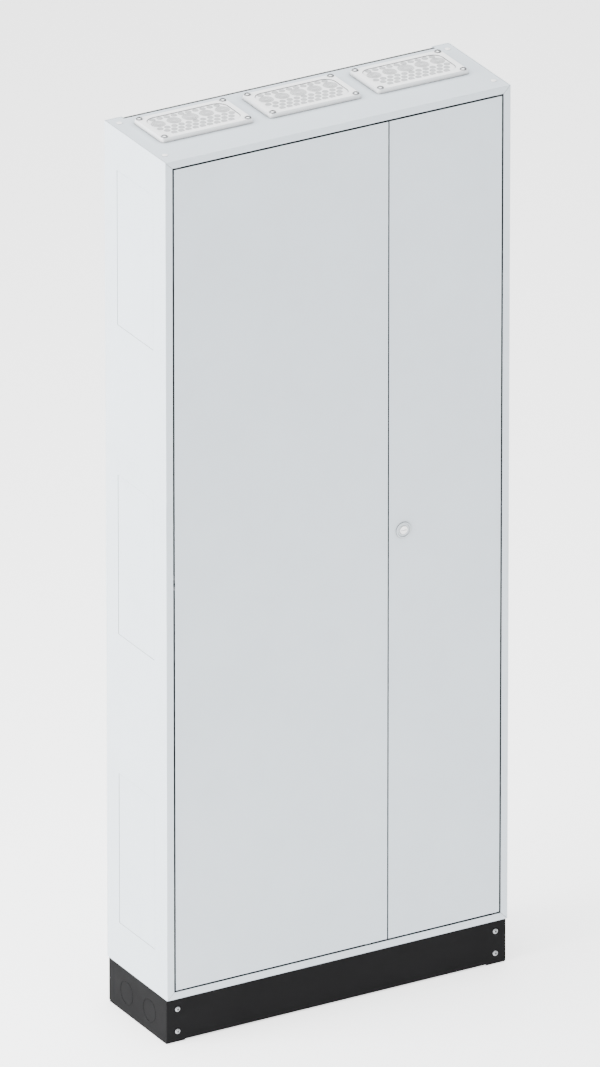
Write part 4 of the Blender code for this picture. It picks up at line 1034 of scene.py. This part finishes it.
@dataclass
class CableEntries(SubAssembly):
    """The three membrane plates in the top, their clamps and screws, and the four plugs.

    Attributes:
        plate_corner: Radius of a plate's corners.
        draft: How far its edges slope in.
        window_gap: Space round the membrane field in its window.
        edge_steps: Faces across the rounding of its edges.
        screw_hole: Radius of a plate's screw holes.
        hole_steps: Faces round each.
        pad: Length and depth of the membrane field.
        pad_corner: Radius of its corners.
        pad_height: How far it stands on the plate's recessed face.
        recess: How far that face lies below the plate's top.
        large: X place and radius of each large membrane.
        large_y: Y place of the large ones, from the plate's middle.
        large_form: Rings, crest and faces round each large one.
        small_radius: Radius of the small membranes.
        small_pitch: Spacing of the small ones along X.
        small_rows: Y place and number of each row of small ones.
        small_form: Ring, crest and faces round each small one.
        screws: Place of a screw from the plate's middle.
        head_radius: Radius of its head.
        cut_under: How far under the head its shank ends.
        plug_stem: Radius of a plug's stem.
        plug_chamfer: Chamfer of the stem's end.
        plug_head: Thickness of a plug's head.
        plug_rim: Height of the head's straight rim.
        plug_steps: Faces round a plug.
    """

    edge: float = 0.8 * MM
    plate_corner: float = 6 * MM
    draft: float = 2 * MM
    window_gap: float = 0.8 * MM
    edge_steps: int = 3
    screw_hole: float = 2.8 * MM
    hole_steps: int = 24
    pad: Pair = (183 * MM, 90 * MM)
    pad_corner: float = 22 * MM
    pad_height: float = 0.6 * MM
    recess: float = 2 * MM
    large: tuple[Pair, ...] = (
        (-74 * MM, 14.5 * MM),
        (-37.5 * MM, 14.5 * MM),
        (0.0, 16.5 * MM),
        (37.5 * MM, 14.5 * MM),
        (74 * MM, 14.5 * MM),
    )
    large_y: float = 14 * MM
    large_form: tuple[int, float, int] = (3, 0.9 * MM, 48)
    small_radius: float = 6.3 * MM
    small_pitch: float = 16.5 * MM
    small_rows: tuple[tuple[float, int], ...] = (
        (-9.5 * MM, 11),
        (-23.7 * MM, 10),
        (-37.6 * MM, 9),
        (36.8 * MM, 10),
    )
    small_form: tuple[int, float, int] = (1, 0.6 * MM, 20)
    screws: Pair = (96.5 * MM, 51.5 * MM)
    head_radius: float = 7 * MM
    cut_under: float = 0.1 * MM
    plug_stem: float = 3.7 * MM
    plug_chamfer: float = 0.5 * MM
    plug_head: float = 1.3 * MM
    plug_rim: float = 0.3 * MM
    plug_steps: int = 40

    def plate(self, side: str) -> None:
        """Models one plate with its sloped edge and its window.

        Args:
            side: Which plate.
        """
        low, high, middle = extent(f"entry_plate_{side}")
        size = high - low
        bm = rounded_slab(size, self.plate_corner, (middle.x, middle.y, low.z), size.z, self.draft)
        window = [part + 2 * self.window_gap for part in self.pad]
        corner = self.pad_corner + self.window_gap
        place = (middle.x, middle.y, high.z - self.recess)
        bm = carved(bm, rounded_slab(window, corner, place, 2 * self.recess))
        round_edges(bm, self.edge, self.edge_steps)
        holes = bmesh.new()
        for x, y in self.screw_places(middle):
            spot = Matrix.Translation((x, y, middle.z))
            bmesh.ops.create_cone(
                holes,
                cap_ends=True,
                segments=self.hole_steps,
                radius1=self.screw_hole,
                radius2=self.screw_hole,
                depth=2 * size.z,
                matrix=spot,
            )
        self.stand_in(f"entry_plate_{side}", carved(bm, holes))

    def screw_places(self, middle: Vector) -> list[Pair]:
        """X and Y of one plate's four screws."""
        x, y = self.screws
        return [(middle.x + a * x, middle.y + b * y) for a in (-1, 1) for b in (-1, 1)]

    def membranes(self, side: str) -> None:
        """Fills one plate's window.

        Args:
            side: Which plate.
        """
        _, high, middle = extent(f"entry_plate_{side}")
        place = Vector((middle.x, middle.y, high.z - self.recess))
        pad = rounded_slab(self.pad, self.pad_corner, place, self.pad_height)
        self.place(f"membrane_field_{side}", pad, "entry_plastic", "root")
        bm = bmesh.new()
        base = Matrix.Translation(place + Vector((0, 0, self.pad_height)))
        for x, radius in self.large:
            spot = base @ Matrix.Translation((x, self.large_y, 0))
            add_copies(bm, Membrane(radius, *self.large_form).mesh(), [spot])
        self.place(f"large_membranes_{side}", bm, "entry_plastic", "root", finish=MEMBRANE)
        places = []
        for y, count in self.small_rows:
            for number in range(count):
                x = (number - (count - 1) / 2) * self.small_pitch
                places.append(base @ Matrix.Translation((x, y, 0)))
        bm = bmesh.new()
        add_copies(bm, Membrane(self.small_radius, *self.small_form).mesh(), places)
        self.place(f"small_membranes_{side}", bm, "entry_plastic", "root", finish=THIN_MEMBRANE)

    def clamp(self, side: str) -> None:
        """Models one clamp frame with its screw shanks, and the domed heads above the plate.

        Args:
            side: Which plate.
        """
        _, high, middle = extent(f"entry_plate_{side}")
        node = f"entry_clamp_{side}"
        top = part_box(node)[1].z
        head_base = high.z + CLEARANCE
        cut = (0, 0, head_base - self.cut_under)
        bm = merged_copy(node)
        geom = [*bm.verts, *bm.edges, *bm.faces]
        bmesh.ops.bisect_plane(bm, geom=geom, plane_co=cut, plane_no=(0, 0, 1), clear_outer=True)
        bmesh.ops.holes_fill(bm, edges=[edge for edge in bm.edges if edge.is_boundary], sides=0)
        bmesh.ops.recalc_face_normals(bm, faces=bm.faces)
        self.stand_in(node, bm)
        shape = DomedScrew(self.head_radius, top - head_base).mesh()
        heads = bmesh.new()
        places = [Matrix.Translation((x, y, head_base)) for x, y in self.screw_places(middle)]
        add_copies(heads, shape, places)
        self.place(f"entry_screws_{side}", heads, "zinc_steel", "root", finish=SCREW_ZINC)

    def plug(self, node: str) -> None:
        """Models one blanking plug with a soft dome.

        Args:
            node: The CAD plug.
        """
        low, high, middle = extent(node)
        radius = (high.x - low.x) / 2
        height = high.z - low.z
        stem, cut = self.plug_stem, self.plug_chamfer
        seat = height - self.plug_head
        rim = seat + self.plug_rim
        profile = [(0.0, 0.0), (stem - cut, 0.0), (stem, cut), (stem, seat), (radius, seat)]
        profile += arc((0.0, rim), (radius, height - rim), DOME_STEPS)
        profile[-1] = (0.0, height)
        bm = turned(profile, self.plug_steps)
        self.stand_in(node, moved(bm, Matrix.Translation((middle.x, middle.y, low.z))))

    def build(self) -> None:
        """Builds the plates from left to right, then the plugs."""
        for side in ("left", "centre", "right"):
            self.plate(side)
            self.membranes(side)
            self.clamp(side)
        for number in range(1, 5):
            self.plug(f"top_plug_{number}")


@dataclass
class Plinth(SubAssembly):
    """Side channels with round knock-outs, front and rear panels, and the front screws.

    Attributes:
        knock_out_y: Y places of the round knock-outs.
        knock_out_z: Their height.
        knock_out_radius: Their radius.
        line: Width of the cut round each.
        depth: Depth of that cut.
        tab: Width of the two bridges that hold each.
        ring_steps: Faces round each.
        head_height: Height of a front screw's head.
        shank_radius: Radius of its shank.
    """

    knock_out_y: Pair = (46 * MM, -49 * MM)
    knock_out_z: float = 48 * MM
    knock_out_radius: float = 26 * MM
    line: float = 1.4 * MM
    depth: float = 1.0 * MM
    tab: float = 5 * MM
    ring_steps: int = 64
    head_height: float = 2.7 * MM
    shank_radius: float = 3 * MM

    def ring(self, x: float, y: float) -> BMesh:
        """The cutter of one knock-out.

        Args:
            x: Outer face of the channel.
            y: Where the knock-out is along it.

        Returns:
            A ring in two arcs, with room for the bridges.
        """
        outer = self.knock_out_radius
        inner = outer - self.line
        profile = [(inner, -self.depth), (outer, -self.depth), (outer, self.depth), (inner, self.depth)]
        bridges = bmesh.new()
        far = Vector((2 * outer, self.tab / 2, 2 * self.depth))
        add_slab(bridges, -far, far)
        ring = carved(turned(profile, self.ring_steps, closed=True), bridges)
        place = Matrix.Translation((x, y, self.knock_out_z)) @ Matrix.Rotation(math.pi / 2, 4, "Y")
        return moved(ring, place)

    def channel(self, node: str) -> None:
        """Cuts the knock-outs into one side channel.

        Args:
            node: The CAD channel.
        """
        outer = outer_x(node)
        bm = merged_copy(node)
        for y in self.knock_out_y:
            bm = carved(bm, self.ring(outer, y))
        round_edges(bm, self.edge)
        self.stand_in(node, bm)

    def screw(self, node: str) -> None:
        """Models one domed front screw.

        Args:
            node: The CAD screw.
        """
        low, high, middle = extent(node)
        seat = low.y + self.head_height
        shape = DomedScrew(
            head_radius=(high.x - low.x) / 2,
            head_height=seat - low.y,
            shank_radius=self.shank_radius,
            shank_length=high.y - seat,
        )
        self.stand_in(node, moved(shape.mesh(), facing_front((middle.x, seat, middle.z))), DULL_ZINC)

    def build(self) -> None:
        """Builds the plinth."""
        self.channel("plinth_side_left")
        self.channel("plinth_side_right")
        self.refine("plinth_front_panel", "plinth_rear_panel")
        for number in range(1, 5):
            self.screw(f"plinth_screw_{number}")


@dataclass
class MountingGear(SubAssembly):
    """Posts, rails and terminal bars inside.

    Attributes:
        hole: Side of a post's square holes.
        hole_pitch: Their spacing.
        hole_reach: How far their cut stands before and behind the post's front face.
        post_margin: What stays free of them at each end.
        slot: Length and height of a rail's slots.
        slot_flat: Half the straight part of their ends.
        slot_steps: Faces round each of their corners.
        slot_pitch: Their spacing.
        slot_reach: How far their cut goes into the rail from behind.
        margin: What stays free at each end of a rail or bar.
        terminal_pitch: Spacing of the bars' screws.
        terminal: Radius and height of their heads, and radius of their recess.
        terminal_steps: Faces round each.
    """

    edge: float = 0.3 * MM
    hole: float = 9 * MM
    hole_pitch: float = 25 * MM
    hole_reach: Pair = (1 * MM, 4 * MM)
    post_margin: float = 15 * MM
    slot: Pair = (15 * MM, 6.2 * MM)
    slot_flat: float = 0.1 * MM
    slot_steps: int = 5
    slot_pitch: float = 25 * MM
    slot_reach: float = 3 * MM
    margin: float = 12 * MM
    terminal_pitch: float = 18 * MM
    terminal: tuple[float, float, float] = (3.2 * MM, 1.8 * MM, 1.2 * MM)
    terminal_steps: int = 24

    def stations(self, low: float, high: float, pitch: float, margin: float) -> list[float]:
        """Evenly spaced places along a length, centred on it.

        Args:
            low: Where the length starts.
            high: Where it ends.
            pitch: The spacing.
            margin: What stays free at each end.

        Returns:
            The places.
        """
        count = int((high - low - 2 * margin) / pitch) + 1
        middle = (low + high) / 2
        return [middle + (number - (count - 1) / 2) * pitch for number in range(count)]

    def post(self, node: str) -> None:
        """Punches a row of square holes into one post.

        Args:
            node: The CAD post.
        """
        low, high, middle = extent(node)
        half = self.hole / 2
        before, behind = self.hole_reach
        cutter = bmesh.new()
        for z in self.stations(low.z, high.z, self.hole_pitch, self.post_margin):
            corner = (middle.x - half, low.y - before, z - half)
            add_slab(cutter, corner, (middle.x + half, low.y + behind, z + half))
        self.stand_in(node, carved(merged_copy(node), cutter))

    def rail(self, node: str) -> None:
        """Punches a row of round-ended slots into one rail.

        Args:
            node: The CAD rail.
        """
        low, high, middle = extent(node)
        length, height = self.slot
        shape = bmesh.new()
        corner = (-length / 2, high.y - self.slot_reach, -height / 2)
        add_slab(shape, corner, (length / 2, high.y + self.slot_reach, height / 2))
        across = [edge for edge in shape.edges if abs((edge.verts[0].co - edge.verts[1].co).y) > MM]
        round_off(shape, across, height / 2 - self.slot_flat, self.slot_steps)
        cutter = bmesh.new()
        along = self.stations(low.x, high.x, self.slot_pitch, self.margin)
        add_copies(cutter, shape, [Matrix.Translation((x, 0, middle.z)) for x in along])
        self.stand_in(node, carved(merged_copy(node), cutter))

    def bar(self, node: str) -> None:
        """Refines one terminal bar and sets its row of screws.

        Args:
            node: The CAD bar.
        """
        self.refine(node)
        low, high, middle = extent(node)
        shape = DomedScrew(*self.terminal).mesh(self.terminal_steps)
        screws = bmesh.new()
        along = self.stations(low.x, high.x, self.terminal_pitch, self.margin)
        add_copies(screws, shape, [facing_front((x, low.y, middle.z)) for x in along])
        self.place(f"{node}_screws", screws, "zinc_steel", BODY_OF[node])

    def build(self) -> None:
        """Builds the gear."""
        for side in ("left", "right"):
            self.post(f"mounting_post_{side}")
        for number in range(1, 6):
            self.rail(f"din_rail_{number}")
        for node in ("earth_bar", "neutral_bar"):
            self.bar(node)


# Studio


class Lamp(Enum):
    """The studio's soft lights: place, aim, size in metres and power in watts."""

    KEY = ((-4.2, 0.4, 2.1), (0.0, 0.0, 1.0), 3.2, 600.0)
    FRONT = ((0.5, -6.0, 3.6), (0.0, 0.0, 1.3), 4.0, 150.0)
    TOP = ((0.0, 0.6, 6.0), (0.0, 0.0, 1.0), 4.0, 540.0)


def aimed(
    name: str, data: bpy.types.ID, place: Sequence[float], aim: Sequence[float]
) -> bpy.types.Object:
    """A new lamp or camera at one place, turned towards another."""
    made = linked(name, data)
    made.location = place
    made.rotation_euler = (Vector(aim) - Vector(place)).to_track_quat("-Z", "Y").to_euler()
    return made


@dataclass
class Studio:
    """Floor, light and camera.

    Attributes:
        floor_side: Side of the square floor.
        floor_squares: Faces along one side of it.
        sky: Strength of the even light all round.
        camera_place: Where the camera stands.
        camera_aim: What it looks at.
        lens: Focal length in mm.
        sensor: Sensor width in mm.
        view_end: How far the camera sees.
    """

    floor_side: float = 90.0
    floor_squares: int = 8
    sky: float = 0.75
    camera_place: tuple[float, float, float] = (-21.74506, -38.08549, 20.89876)
    camera_aim: tuple[float, float, float] = (-0.01802, 0.000206, 1.01071)
    lens: float = 800.0
    sensor: float = 36.0
    view_end: float = 200.0

    def floor(self) -> None:
        """Lays a pale floor with a faint cast."""
        bm = bmesh.new()
        count = self.floor_squares
        bmesh.ops.create_grid(bm, x_segments=count, y_segments=count, size=self.floor_side / 2)
        made = linked("floor", mesh_of("floor", bm))
        made.data.materials.append(material(FLOOR))

    def lights(self) -> None:
        """Sets the even sky and the soft lamps."""
        world = bpy.data.worlds.new("studio")
        world.use_nodes = True
        sky = world.node_tree.nodes["Background"]
        sky.inputs["Color"].default_value = (1.0, 1.0, 1.0, 1.0)
        sky.inputs["Strength"].default_value = self.sky
        bpy.context.scene.world = world
        for lamp in Lamp:
            place, aim, size, power = lamp.value
            data = bpy.data.lights.new(lamp.name.lower(), "AREA")
            data.size = size
            data.energy = power
            aimed(lamp.name.lower(), data, place, aim)

    def camera(self) -> None:
        """Sets up a far camera with a long lens."""
        data = bpy.data.cameras.new("camera")
        data.lens = self.lens
        data.sensor_width = self.sensor
        data.clip_end = self.view_end
        bpy.context.scene.camera = aimed("camera", data, self.camera_place, self.camera_aim)

    def build(self) -> None:
        """Builds the studio."""
        self.floor()
        self.lights()
        self.camera()


def clear_startup() -> None:
    """Removes what the start-up scene holds besides the frame."""
    ours = set(frame["nodes"].values()) | set(frame["bodies"].values())
    for item in list(bpy.data.objects):
        if item not in ours:
            bpy.data.objects.remove(item, do_unlink=True)


def main() -> None:
    """Builds the cabinet and its studio, and reports each piece."""
    logging.basicConfig(level=logging.INFO, format="%(name)s: %(message)s")
    clear_startup()
    for maker in (CabinetBody, Doors, Hinges, LockWork, CableEntries, Plinth, MountingGear):
        part = maker()
        part.build()
        for piece in part.made:
            log.info("%s: %s, %d faces", maker.__name__, piece.name, len(piece.data.polygons))
    Studio().build()


if __name__ == "__main__":
    main()
